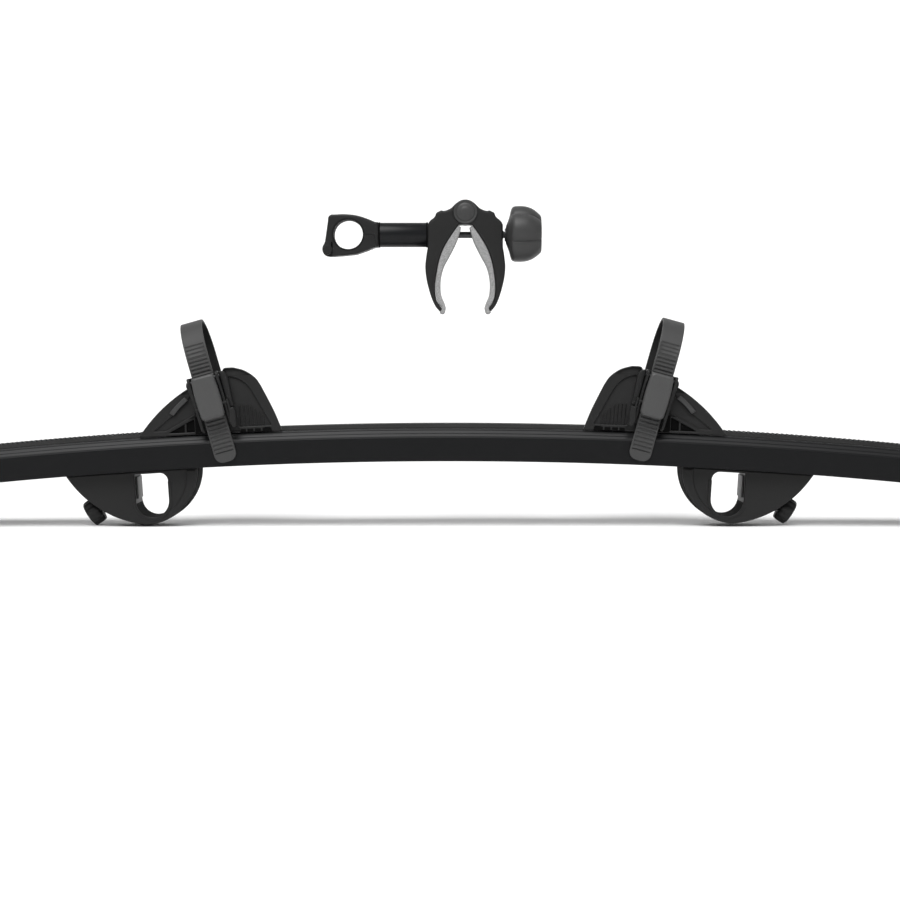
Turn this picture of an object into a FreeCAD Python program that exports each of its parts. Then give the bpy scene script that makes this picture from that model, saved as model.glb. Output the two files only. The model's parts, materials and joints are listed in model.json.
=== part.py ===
import FreeCAD, Part
import math
import os

# A kit that lets a towing-bar cycle carrier take one more bicycle: an arched aluminium rail
# with two sliding wheel holders stands on two clamp feet, and a separate arm holds the frame.
# Millimetres. X runs along the rail, Y across it, Z up. The origin is midway along the rail,
# on its centre plane, level with the carrier's two cross bars where the feet clamp them.

# ---- rail: heights are over its underside at the crown ----
RAIL_RADIUS = 5170.0
RAIL_LENGTH = 1292.0
RAIL_HALF_WIDTH = 39.0
RAIL_SHOULDER = 26.4
RAIL_HEIGHT = 35.5
RAIL_TOP_HALF_WIDTH = 33.0
LIP_EDGE = 28.0
WALL = 2.2
FLOOR = 2.5
WEB_OUTER = 15.0
WEB_INNER = 13.0
TRACK_HALF_WIDTH = 21.5
TRACK_TOP = 33.0
TRACK_PLATE = 2.0
CAP_THICKNESS = 4.0
CAP_TONGUE = 15.0
CAP_TOP = 37.5

# ---- tread mat that the tyre rolls on ----
MAT_HALF_WIDTH = 21.0
MAT_FLANGE = 4.0
MAT_HUMP_HALF_WIDTH = 14.0
MAT_HUMP = 7.0
RIB_HEIGHT = 1.0
RIB_PITCH = 5.3
RIB_LENGTH = 2.6
STRIP_HALF_LENGTH = 190.0

# ---- fits ----
RUNNING_GAP = 0.3
PIN_GAP = 0.05
SEAT_GAP = 0.1

# ---- clamp feet: u runs outward from the clamp hole, v down from the rail ----
FOOT_PLACE = {"left": -327.0, "right": 304.7}
FOOT_WIDTH = 50.0
FOOT_WALL = 3.5
FOOT_TOE = 93.0
FOOT_ARC_RADIUS = 59.5
FOOT_ARC_CENTRE = 8.0
FOOT_BELLY = (57.4, 39.6)
HOLE_RADIUS = 18.0
HOLE_TOP = 4.0
HOLE_ARC_DROP = 34.0
HOLE_CORNER = 9.0
KNOB_FACE = (73.5, 46.5)
SCREW_SLOPE = 30.0
SCREW_RADIUS = 4.0
FOOT_KNOB_RADIUS = 13.0
FOOT_KNOB_LENGTH = 14.0
FOOT_PAD_TRAVEL = 5.0
FOOT_PAD_THICKNESS = 5.0
FOOT_PAD_HALF_HEIGHT = 8.0
FOOT_PAD_HALF_WIDTH = 18.0
FOOT_PAD_FACE = 62.0
FOOT_BOLT_PLACES = (-36.0, 80.0)
FOOT_BOLT_RADIUS = 3.0
FOOT_BOLT_SEAT = 8.0

# ---- wheel holders: t runs outward along the rail, heights are over the rail's underside ----
HOLDER_PLACE = {"left": -249.0, "right": 211.8}
TYRE_GAP = 58.0
BASE_WALL = 2.4
CHEEK_THICKNESS = 4.5
BASE_START = -58.0
BASE_END = 60.0
BASE_UNDERSIDE = 41.8
BASE_TOP = 47.5
BASE_WALL_TOP = 60.0
HOLDER_FOOT = RAIL_HEIGHT + RUNNING_GAP
CHEEK_SCREW_PLACES = (-46.0, 52.0)
FAR_CHEEK_SHARE = 0.9
CLAMP_BOLT_PLACES = (-34.0, 34.0)
CLAMP_BOLT_Y = 24.7
CLAMP_BOLT_RADIUS = 2.5

# ---- ratchet strap, in a frame that leans outward: w across the strap, h along it ----
STRAP_LEAN = 13.0
STRAP_ROOT = -9.5
STRAP_WIDTH = 24.0
STRAP_THICKNESS = 3.0
STRAP_RAIL_GAP = 1.0
STRAP_NEAR = -(RAIL_HALF_WIDTH + STRAP_RAIL_GAP + STRAP_THICKNESS / 2)
STRAP_FAR = TYRE_GAP / 2 + BASE_WALL + SEAT_GAP + CHEEK_THICKNESS + 0.5 + STRAP_THICKNESS / 2
STRAP_TIP = 5.5
STRAP_SPRING = 121.5
STRAP_END = 80.0
STRAP_PIN_H = 86.0
STRAP_PIN_RADIUS = 2.0
STRAP_LUG_RADIUS = 3.8
EAR_INNER = STRAP_WIDTH / 2 + 0.5
EAR_OUTER = EAR_INNER + 3.5
FLANGE_INNER = STRAP_WIDTH / 2 + 2.2
FLANGE_OUTER = FLANGE_INNER + 3.0
LEVER_HALF_WIDTH = FLANGE_INNER - 0.5
LEVER_BOTTOM = 54.0
LEVER_TOP = 102.0
LEVER_FRONT = STRAP_NEAR - 14.5
LEVER_BACK = STRAP_NEAR - 2.1
LEVER_PIN = (STRAP_NEAR - 6.3, 97.5)
RATCHET_FLOOR = 2.4
PAWL_PIN = (STRAP_NEAR - 6.0, 68.0)
SMALL_PIN_RADIUS = 1.6

# ---- frame arm: x from the ring's axis, heights from the arm's axis ----
ARM_X = -111.0
ARM_HEIGHT = 246.3
RING_BORE = 16.0
LINER_THICKNESS = 2.0
RING_WIDTH = 30.0
RING_PARTING_LEFT = -8.0
GATE_HINGE = (-22.5, -16.5)
GATE_KNUCKLE_RADIUS = 5.3
GATE_KNUCKLE_HALF = 7.0
GATE_PIN_RADIUS = 2.0
GATE_REACH = 53.0
GATE_SCREW_X = 22.4
GATE_SCREW_RADIUS = 2.5
GATE_SCREW_HEAD = 4.2
GATE_SCREW_TRAVEL = 7.5
BRACKET_END = 33.0
TUBE_RADIUS = 13.4
TUBE_WALL = 2.0
SPIGOT = 26.0
JAW_PIVOT = (127.7, 24.2)
JAW_DEPTH = 32.0
JAW_FACE = -41.0
JAW_BOSS = 13.5
JAW_KNUCKLE_HALF = 8.0
PIVOT_PIN_RADIUS = 4.0
PIVOT_CAP_RADIUS = 11.0
PIVOT_CAP_HEIGHT = 3.5
ROD_RADIUS = 3.5
BARREL_RADIUS = 6.0
BARREL_HALF = 10.0
ROD_END = 71.0
KNOB_TRAVEL_IN = 9.6
ANCHOR_X = -32.0
THRUST_X = 37.0
KNOB_BACK = 49.6
KNOB_FRONT = 83.3
KNOB_RADIUS = 31.0
KNOB_LOBES = 5

ACROSS = FreeCAD.Vector(0, 1, 0)
MEAN_PLACE_SQUARED = (FOOT_PLACE["left"] ** 2 + FOOT_PLACE["right"] ** 2) / 2
CROWN = HOLE_ARC_DROP + MEAN_PLACE_SQUARED / (2 * RAIL_RADIUS)
ARCH_CENTRE = FreeCAD.Vector(0, 0, CROWN - RAIL_RADIUS)
CHEEK_INSIDE = TYRE_GAP / 2 + BASE_WALL + SEAT_GAP
CHEEK_OUTSIDE = CHEEK_INSIDE + CHEEK_THICKNESS


# ---------------------------------------------------------------- helpers
def outline(start, *steps):
    """Flat face in the XZ plane. A step holds one point for a line, two for an arc through
    the first to the second, or more for a smooth curve through them all."""
    edges = []
    here = FreeCAD.Vector(start[0], 0, start[1])
    for step in steps + ([start],):
        points = [FreeCAD.Vector(x, 0, z) for x, z in step]
        if len(points) == 1 and points[0].isEqual(here, 1e-7):
            continue
        if len(points) == 1:
            edges.append(Part.makeLine(here, points[0]))
        elif len(points) == 2:
            edges.append(Part.Arc(here, points[0], points[1]).toShape())
        else:
            curve = Part.BSplineCurve()
            curve.interpolate([here] + points)
            edges.append(curve.toShape())
        here = points[-1]
    return Part.Face(Part.Wire(edges))


def slab(face, y_from, y_to):
    """Carry a flat XZ face from one depth to another."""
    moved = face.copy()
    moved.translate(FreeCAD.Vector(0, y_from, 0))
    return moved.extrude(FreeCAD.Vector(0, y_to - y_from, 0))


def box(x_from, x_to, y_from, y_to, z_from, z_to):
    corner = FreeCAD.Vector(x_from, y_from, z_from)
    return Part.makeBox(x_to - x_from, y_to - y_from, z_to - z_from, corner)


def rod(radius, start, end):
    """Round bar from one point to another."""
    start = FreeCAD.Vector(*start)
    run = FreeCAD.Vector(*end) - start
    return Part.makeCylinder(radius, run.Length, start, run)


def across(radius, x, z, y_from, y_to):
    """Round bar along Y."""
    return rod(radius, (x, y_from, z), (x, y_to, z))


def tidy(shape):
    """Merge split faces and unwrap a compound of one solid."""
    shape = shape.removeSplitter()
    return shape.Solids[0] if len(shape.Solids) == 1 else shape


def rounded(shape, radius, chosen):
    """Fillet the edges for which chosen(edge) is true."""
    return shape.makeFillet(radius, [edge for edge in shape.Edges if chosen(edge)])


def section(points):
    """Closed YZ face at the crown from (y, height over the rail's underside) corners."""
    corners = [FreeCAD.Vector(0, y, CROWN + n) for y, n in points]
    return Part.Face(Part.makePolygon(corners + corners[:1]))


def bend(face, start, end):
    """Carry a section along the arch between two distances, measured along the underside."""
    turned = face.copy()
    turned.rotate(ARCH_CENTRE, ACROSS, math.degrees(start / RAIL_RADIUS))
    return turned.revolve(ARCH_CENTRE, ACROSS, math.degrees((end - start) / RAIL_RADIUS))


def on_rail(shape, place):
    """Take a piece modelled over the crown (outward is +X) to its place along the arch."""
    piece = shape if place > 0 else shape.mirror(FreeCAD.Vector(0, 0, 0), FreeCAD.Vector(1, 0, 0))
    piece = piece.copy()
    piece.translate(FreeCAD.Vector(0, 0, CROWN))
    piece.rotate(ARCH_CENTRE, ACROSS, math.degrees(place / RAIL_RADIUS))
    return piece


def mirrored(points):
    """Add the other side of a half section, so that it closes."""
    return points + [(-y, n) for y, n in reversed(points)]


# ---------------------------------------------------------------- rail, mat and end caps
def rail_face():
    """Open-topped rail with two lips, and a boxed track between them that the mat lies on."""
    run = RAIL_HALF_WIDTH - RAIL_TOP_HALF_WIDTH
    rise = RAIL_HEIGHT - RAIL_SHOULDER
    slope = run / rise
    inset = WALL * math.hypot(run, rise) / rise
    lip_under = RAIL_HEIGHT - WALL
    lip_inner = RAIL_TOP_HALF_WIDTH - inset + slope * WALL
    wall_inner = RAIL_HALF_WIDTH - WALL
    bend_height = lip_under - (wall_inner - lip_inner) / slope
    plate_under = TRACK_TOP - TRACK_PLATE
    half = [(RAIL_HALF_WIDTH, 0), (RAIL_HALF_WIDTH, RAIL_SHOULDER),
            (RAIL_TOP_HALF_WIDTH, RAIL_HEIGHT), (LIP_EDGE, RAIL_HEIGHT), (LIP_EDGE, lip_under),
            (lip_inner, lip_under), (wall_inner, bend_height), (wall_inner, FLOOR),
            (WEB_OUTER, FLOOR), (WEB_OUTER, plate_under), (TRACK_HALF_WIDTH, plate_under),
            (TRACK_HALF_WIDTH, TRACK_TOP)]
    hollow = [(WEB_INNER, FLOOR), (WEB_INNER, plate_under)]
    return section(mirrored(half)).cut(section(mirrored(hollow))).Faces[0]


def make_rail():
    rail = bend(rail_face(), -RAIL_LENGTH / 2, RAIL_LENGTH / 2)
    for place in FOOT_PLACE.values():
        for u in FOOT_BOLT_PLACES:
            hole = rod(FOOT_BOLT_RADIUS + RUNNING_GAP, (u, 0, -1), (u, 0, FLOOR + 1))
            rail = rail.cut(on_rail(hole, place))
    return tidy(rail)


def make_mats():
    """Two ribbed tread mats outboard, and a plain strip between them."""
    flange_top = TRACK_TOP + MAT_FLANGE
    hump_top = TRACK_TOP + MAT_HUMP
    half = [(MAT_HALF_WIDTH, TRACK_TOP), (MAT_HALF_WIDTH, flange_top),
            (MAT_HUMP_HALF_WIDTH + 2, flange_top), (MAT_HUMP_HALF_WIDTH, hump_top)]
    mat = bend(section(mirrored(half)), STRIP_HALF_LENGTH + RUNNING_GAP, RAIL_LENGTH / 2)
    count = int((RAIL_LENGTH / 2 - STRIP_HALF_LENGTH) / RIB_PITCH) - 1
    rib = box(-RIB_LENGTH / 2, RIB_LENGTH / 2, -MAT_HUMP_HALF_WIDTH, MAT_HUMP_HALF_WIDTH,
              hump_top - 1, hump_top + RIB_HEIGHT)
    first = STRIP_HALF_LENGTH + RIB_PITCH
    ribs = [on_rail(rib, first + i * RIB_PITCH) for i in range(count)]
    mat = tidy(mat.multiFuse(ribs))
    other = mat.mirror(FreeCAD.Vector(0, 0, 0), FreeCAD.Vector(1, 0, 0))
    strip = bend(section(mirrored(half)), -STRIP_HALF_LENGTH, STRIP_HALF_LENGTH)
    return Part.makeCompound([other, mat]), strip


def make_end_caps():
    """Cover plate with two tongues that push into the rail's side channels."""
    plate = [(RAIL_HALF_WIDTH, 0), (RAIL_HALF_WIDTH, RAIL_SHOULDER),
             (RAIL_TOP_HALF_WIDTH, CAP_TOP)]
    cap = bend(section(mirrored(plate)), RAIL_LENGTH / 2, RAIL_LENGTH / 2 + CAP_THICKNESS)
    inner = WEB_OUTER + RUNNING_GAP
    outer = RAIL_HALF_WIDTH - WALL - RUNNING_GAP
    low = FLOOR + RUNNING_GAP
    high = RAIL_SHOULDER - 2 * WALL
    for flip in (1, -1):
        corners = [(flip * inner, low), (flip * outer, low), (flip * outer, high), (flip * inner, high)]
        tongue = bend(section(corners), RAIL_LENGTH / 2 - CAP_TONGUE, RAIL_LENGTH / 2)
        cap = cap.fuse(tongue)
    cap = tidy(cap)
    return Part.makeCompound([cap.mirror(FreeCAD.Vector(0, 0, 0), FreeCAD.Vector(1, 0, 0)), cap])


# ---------------------------------------------------------------- clamp feet
def foot_outline(inset, top):
    """Half-moon side of a foot: an arc round the clamp hole, a flatter belly, a straight top."""
    radius = FOOT_ARC_RADIUS - inset
    centre = FOOT_ARC_CENTRE
    toe = FOOT_TOE - 1.3 * inset
    belly = (FOOT_BELLY[0] - 0.55 * inset, -FOOT_BELLY[1] + 0.85 * inset)
    turn = math.sqrt(0.5) * radius
    return outline((centre - radius, top), [(centre - radius, 0)],
                   [(centre - turn, -turn), (centre, -radius)],
                   [belly, (toe, 0)], [(toe, top)])


def hole_outline(grow):
    """Clamp hole: round below for the bar, square beside the pad, rounded at the inner top."""
    radius = HOLE_RADIUS + grow
    top = -HOLE_TOP + grow
    corner = HOLE_CORNER + grow
    cut = corner * (1 - math.sqrt(0.5))
    return outline((-radius, -HOLE_ARC_DROP), [(0, -HOLE_ARC_DROP - radius), (radius, -HOLE_ARC_DROP)],
                   [(radius, top)], [(-radius + corner, top)],
                   [(-radius + cut, top - cut), (-radius, top - corner)])


def along_screw(distance, aside=0.0):
    """Point on the clamp screw's axis, at a distance behind the knob's face."""
    slope = math.radians(SCREW_SLOPE)
    x = KNOB_FACE[0] - distance * math.cos(slope) + aside * math.sin(slope)
    z = -KNOB_FACE[1] + distance * math.sin(slope) + aside * math.cos(slope)
    return x, z


def screw_bar(radius, near, far):
    """Round bar on the clamp screw's axis, between two distances behind the knob's face."""
    (x1, z1), (x2, z2) = along_screw(near), along_screw(far)
    return rod(radius, (x1, 0, z1), (x2, 0, z2))


def screw_block(half_height, half_width, near, far):
    """Square block on the clamp screw's axis."""
    corners = [along_screw(near, half_height), along_screw(far, half_height),
               along_screw(far, -half_height), along_screw(near, -half_height)]
    face = outline(corners[0], *[[corner] for corner in corners[1:]])
    return slab(face, -half_width, half_width)


def foot_pieces():
    half = FOOT_WIDTH / 2
    rise = 3.0
    body = slab(foot_outline(0, rise), -half, half)
    cavity = slab(foot_outline(FOOT_WALL, rise + 1), FOOT_WALL - half, half - FOOT_WALL)
    seat = FOOT_KNOB_LENGTH + FOOT_PAD_TRAVEL + 1.0
    pocket_radius = FOOT_KNOB_RADIUS + 2.0
    pad_back = FOOT_PAD_FACE - FOOT_PAD_THICKNESS
    bore = SCREW_RADIUS + RUNNING_GAP
    nut_near, nut_far = seat + 12.0, seat + 18.5
    solid = [slab(hole_outline(FOOT_WALL), -half, half),
             box(-HOLE_RADIUS, HOLE_RADIUS, -half, half, -HOLE_TOP, rise),
             screw_bar(bore + FOOT_WALL, seat, FOOT_PAD_FACE),
             screw_bar(pocket_radius + FOOT_WALL, -5, seat + FOOT_WALL),
             screw_block(10, 10, nut_near - 3, nut_far + 3),
             screw_block(FOOT_PAD_HALF_HEIGHT + 3.5, half, pad_back - 4, FOOT_PAD_FACE)]
    solid += [rod(9, (u, 0, rise), (u, 0, -60)) for u in FOOT_BOLT_PLACES]
    foot = body.cut(cavity.cut(solid[0].multiFuse(solid[1:])))
    cuts = [slab(hole_outline(0), -half - 1, half + 1),
            screw_bar(bore, seat - 1, pad_back),
            screw_bar(pocket_radius, -12, seat),
            screw_block(6.6, 6.6, nut_near, nut_far),
            screw_block(FOOT_PAD_HALF_HEIGHT + 0.4, FOOT_PAD_HALF_WIDTH + 0.4, pad_back - 0.6,
                        FOOT_PAD_FACE + 8)]
    for u in FOOT_BOLT_PLACES:
        cuts.append(rod(FOOT_BOLT_RADIUS + RUNNING_GAP, (u, 0, rise), (u, 0, -FOOT_BOLT_SEAT)))
        cuts.append(rod(5.6, (u, 0, -FOOT_BOLT_SEAT), (u, 0, -70)))
    foot = tidy(foot.cut(cuts[0].multiFuse(cuts[1:])))

    pad = screw_block(FOOT_PAD_HALF_HEIGHT, FOOT_PAD_HALF_WIDTH, pad_back, FOOT_PAD_FACE)
    pad = rounded(pad, 1.2, lambda e: True)
    pad = pad.cut(screw_bar(SCREW_RADIUS + PIN_GAP, pad_back - 1, pad_back + 2.5))
    knob = screw_bar(FOOT_KNOB_RADIUS, 0, FOOT_KNOB_LENGTH)
    knob = rounded(knob, 2.0, lambda e: e.Curve.TypeId == "Part::GeomCircle")
    flutes = []
    for i in range(9):
        turn = math.radians(40 * i)
        aside, depth = 15.4 * math.cos(turn), 15.4 * math.sin(turn)
        (x1, z1), (x2, z2) = along_screw(-1, aside), along_screw(FOOT_KNOB_LENGTH + 1, aside)
        flutes.append(rod(3.6, (x1, depth, z1), (x2, depth, z2)))
    knob = knob.cut(flutes[0].multiFuse(flutes[1:]))
    knob = tidy(knob.cut(screw_bar(SCREW_RADIUS, 5, FOOT_KNOB_LENGTH + 1)))
    screw = screw_bar(SCREW_RADIUS, 5, pad_back + 2.3)
    nut = screw_block(6.5, 6.5, nut_near + 0.1, nut_far - 0.1)
    nut = nut.cut(screw_bar(SCREW_RADIUS + PIN_GAP, nut_near, nut_far))
    bolts = [rod(FOOT_BOLT_RADIUS, (u, 0, -FOOT_BOLT_SEAT), (u, 0, FLOOR + 7)).fuse(
        rod(5, (u, 0, -FOOT_BOLT_SEAT - 6), (u, 0, -FOOT_BOLT_SEAT))) for u in FOOT_BOLT_PLACES]
    nuts = [box(u - 5, u + 5, -5, 5, FLOOR + 0.05, FLOOR + 5).cut(
        rod(FOOT_BOLT_RADIUS + PIN_GAP, (u, 0, 0), (u, 0, 20))) for u in FOOT_BOLT_PLACES]
    arch = bend(section([(-60, 0), (60, 0), (60, 20), (-60, 20)]), -150, 150)
    arch.translate(FreeCAD.Vector(0, 0, -CROWN))
    return {"foot": foot.cut(arch), "clamp_pad": pad, "clamp_knob": knob, "clamp_screw": screw,
            "screw_nut": nut, "bolts": bolts, "nuts": nuts}


# ---------------------------------------------------------------- wheel holders
def cheek_outline(at):
    """Fin on the inner side, ratchet seat in the middle, wheel-stop wedge on the outer side."""
    low = HOLDER_FOOT
    return outline(at(-68.8, low), [at(-62, 55), at(-55, 71), at(-48, 86)],
                   [at(-42, 95), at(-31, 103), at(-19, 107)], [at(-11, 107)],
                   [at(-8, 105.6), at(-7, 102.5)], [at(-2, 100)], [at(31, 86.3)],
                   [at(61.5, 64.4), at(86.5, 36.5)], [at(86.3, low)])


def lean(shape):
    """Turn a ratchet piece from its own upright frame to the strap's lean over the holder."""
    turned = shape.copy()
    turned.rotate(FreeCAD.Vector(0, 0, 0), ACROSS, STRAP_LEAN)
    turned.translate(FreeCAD.Vector(STRAP_ROOT, 0, 0))
    return turned


def sideways(radius, y, h, w_from, w_to):
    """Round bar along the strap's width."""
    return rod(radius, (w_from, y, h), (w_to, y, h))


def side_slab(points, w_from, w_to):
    """Solid from a (y, h) polygon carried along the strap's width."""
    corners = [FreeCAD.Vector(w_from, y, h) for y, h in points]
    return Part.Face(Part.makePolygon(corners + corners[:1])).extrude(FreeCAD.Vector(w_to - w_from, 0, 0))


def make_cheek(share):
    """A cheek in the near position: a plate with a recessed fin face, grip lines and the raised
    wedge bar. Its length and height are a share of the near cheek's."""
    def at(x, height):
        return x * share, HOLDER_FOOT + (height - HOLDER_FOOT) * share
    def bar_box(x1, x2, y1, y2, low, high):
        (x1, low), (x2, high) = at(x1, low), at(x2, high)
        return box(x1, x2, y1, y2, low, high)
    outer = -CHEEK_OUTSIDE
    cheek = slab(cheek_outline(at), outer, -CHEEK_INSIDE)
    cheek = rounded(cheek, 1.2, lambda e: abs(e.BoundBox.YMax - outer) < 1e-4
                    and e.BoundBox.ZMax > HOLDER_FOOT + 1)
    recess = outline(at(-57, 42), [at(-46, 64.7), at(-37.6, 80.6)], [at(-27, 92.2), at(-14.5, 98)],
                     [at(-12, 92)], [at(-21.5, 48)], [at(-22, 42)])
    cheek = cheek.cut(slab(recess, outer - 1, outer + 2.0))
    for i in range(6):
        x = -49 + 4.6 * i
        cheek = cheek.fuse(bar_box(x, x + 1.6, outer + 0.8, outer + 2.2, 46, 62 + 2 * min(i, 2)))
    window = outline(at(26, 38.5), [at(26, 53)], [at(54, 38.5)])
    cheek = cheek.cut(slab(window, outer - 1, -CHEEK_INSIDE + 1))
    cheek = cheek.fuse(bar_box(34, 36.5, outer + 1, -CHEEK_INSIDE, 38, 50))
    for x in (-56, -47.5, -39, -30.5):
        cheek = cheek.cut(bar_box(x, x + 6, outer - 1, outer + 2.0, 37.2, 40.2))
    bar = outline(at(53.5, 59.8), [at(33, 77.8)], [at(30.3, 71.5)], [at(50, 57)])
    cheek = cheek.fuse(slab(bar, outer - 1.6, outer + 1))
    return tidy(cheek)


def make_strap():
    """Ladder strap: near leg down through the ratchet, over the tyre, down to the far pin."""
    half = STRAP_THICKNESS / 2
    middle = (STRAP_NEAR + STRAP_FAR) / 2
    radius = (STRAP_FAR - STRAP_NEAR) / 2
    loops = []
    for grow in (half, -half):
        a = FreeCAD.Vector(0, middle - radius - grow, STRAP_SPRING)
        b = FreeCAD.Vector(0, middle, STRAP_SPRING + radius + grow)
        c = FreeCAD.Vector(0, middle + radius + grow, STRAP_SPRING)
        loops.append((a, b, c))
    outer, inner = loops
    tip_outer = FreeCAD.Vector(0, outer[0].y, STRAP_TIP)
    tip_inner = FreeCAD.Vector(0, inner[0].y, STRAP_TIP)
    end_outer = FreeCAD.Vector(0, outer[2].y, STRAP_END)
    end_inner = FreeCAD.Vector(0, inner[2].y, STRAP_END)
    edges = [Part.makeLine(tip_outer, outer[0]), Part.Arc(*outer).toShape(),
             Part.makeLine(outer[2], end_outer), Part.makeLine(end_outer, end_inner),
             Part.makeLine(end_inner, inner[2]), Part.Arc(*reversed(inner)).toShape(),
             Part.makeLine(inner[0], tip_inner), Part.makeLine(tip_inner, tip_outer)]
    strap = Part.Face(Part.Wire(edges)).extrude(FreeCAD.Vector(STRAP_WIDTH, 0, 0))
    strap.translate(FreeCAD.Vector(-STRAP_WIDTH / 2, 0, 0))
    strap = rounded(strap, 9.0, lambda e: e.BoundBox.ZMax < STRAP_TIP + 1
                    and e.BoundBox.XLength < 1 and e.BoundBox.YLength > 1)
    lug = sideways(STRAP_LUG_RADIUS, STRAP_FAR, STRAP_PIN_H, -STRAP_WIDTH / 2, STRAP_WIDTH / 2)
    pin = sideways(STRAP_PIN_RADIUS + PIN_GAP, STRAP_FAR, STRAP_PIN_H, -STRAP_WIDTH, STRAP_WIDTH)
    return tidy(strap.fuse(lug).cut(pin))


def make_ratchet_base():
    """Channel for the strap: a floor on the cheek and two flanges that carry the pins."""
    back = -CHEEK_OUTSIDE
    floor_front = back - RATCHET_FLOOR
    base = box(-FLANGE_OUTER, FLANGE_OUTER, floor_front, back, 42, 103)
    near = STRAP_NEAR
    side = [(back, 42), (back, 103), (near - 9, 103), (near - 11, 100), (near - 11, 93),
            (near - 7.5, 86), (near - 7.5, 62), (near - 2.5, 50), (near + 0.5, 42)]
    for w in (FLANGE_INNER, -FLANGE_OUTER):
        base = base.fuse(side_slab(side, w, w + FLANGE_OUTER - FLANGE_INNER))
    for y, h in (LEVER_PIN, PAWL_PIN):
        base = base.cut(sideways(SMALL_PIN_RADIUS + PIN_GAP, y, h, -FLANGE_OUTER - 1, FLANGE_OUTER + 1))
    slot = box(-FLANGE_OUTER - 1, -FLANGE_INNER + 1, near - 20, near + 1.1, 36, 60)
    return tidy(base.cut(slot))


def make_lever():
    """Hollow ratchet lever, barrel-shaped from the front and hinged near its upper end."""
    y_pin, h_pin = LEVER_PIN
    half = LEVER_HALF_WIDTH
    past = half + 5
    face = outline((-half + 4.2, LEVER_BOTTOM), [(half - 4.2, LEVER_BOTTOM)],
                   [(half - 1.3, LEVER_BOTTOM + 1.5), (half - 0.5, LEVER_BOTTOM + 5)],
                   [(half, 78), (half - 0.9, 97)], [(half - 1.7, LEVER_TOP - 1.2), (half - 4.7, LEVER_TOP)],
                   [(-half + 4.7, LEVER_TOP)], [(-half + 1.7, LEVER_TOP - 1.2), (-half + 0.9, 97)],
                   [(-half, 78), (-half + 0.5, LEVER_BOTTOM + 5)],
                   [(-half + 1.3, LEVER_BOTTOM + 1.5), (-half + 4.2, LEVER_BOTTOM)])
    lever = slab(face, LEVER_FRONT, LEVER_BACK)
    hollow = box(-half + 3.1, half - 3.1, LEVER_FRONT + 2.6, LEVER_BACK + 1, LEVER_BOTTOM - 5, 90)
    y_pawl, h_pawl = PAWL_PIN
    notch = box(-past, past, y_pawl - SMALL_PIN_RADIUS - 1, LEVER_BACK + 1, h_pawl - 4, h_pawl + 4)
    heel_radius = STRAP_NEAR - STRAP_THICKNESS / 2 - RUNNING_GAP - y_pin
    heel = box(-past, past, y_pin, LEVER_BACK + 1, h_pin, LEVER_TOP + 1)
    heel = heel.cut(sideways(heel_radius, y_pin, h_pin, -past - 1, past + 1))
    pin_hole = sideways(SMALL_PIN_RADIUS + PIN_GAP, y_pin, h_pin, -past, past)
    return tidy(lever.cut(hollow).cut(notch).cut(heel).cut(pin_hole))


def make_pawl():
    """Release pawl: a nose over the strap, its shaft, and a thumb tab beside the flange."""
    y, h = PAWL_PIN
    nose = side_slab([(y - 3, h - 4), (y + 3, h - 4), (y + 4.1, h + 6), (y - 1, h + 9), (y - 3, h + 4)],
                     3.5 - STRAP_WIDTH / 2, STRAP_WIDTH / 2 - 3.5)
    tab = side_slab([(y + 2.5, h + 3), (y - 2.5, h + 3), (y - 2.5, h - 14), (y + 1, h - 27),
                     (y + 5.5, h - 27), (y + 5.5, h - 12), (y + 2.5, h - 6)],
                    -FLANGE_OUTER - 3.3, -FLANGE_OUTER - 0.3)
    shaft = sideways(SMALL_PIN_RADIUS, y, h, -FLANGE_OUTER - 2, FLANGE_OUTER)
    return tidy(nose.fuse(tab).fuse(shaft))


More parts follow.
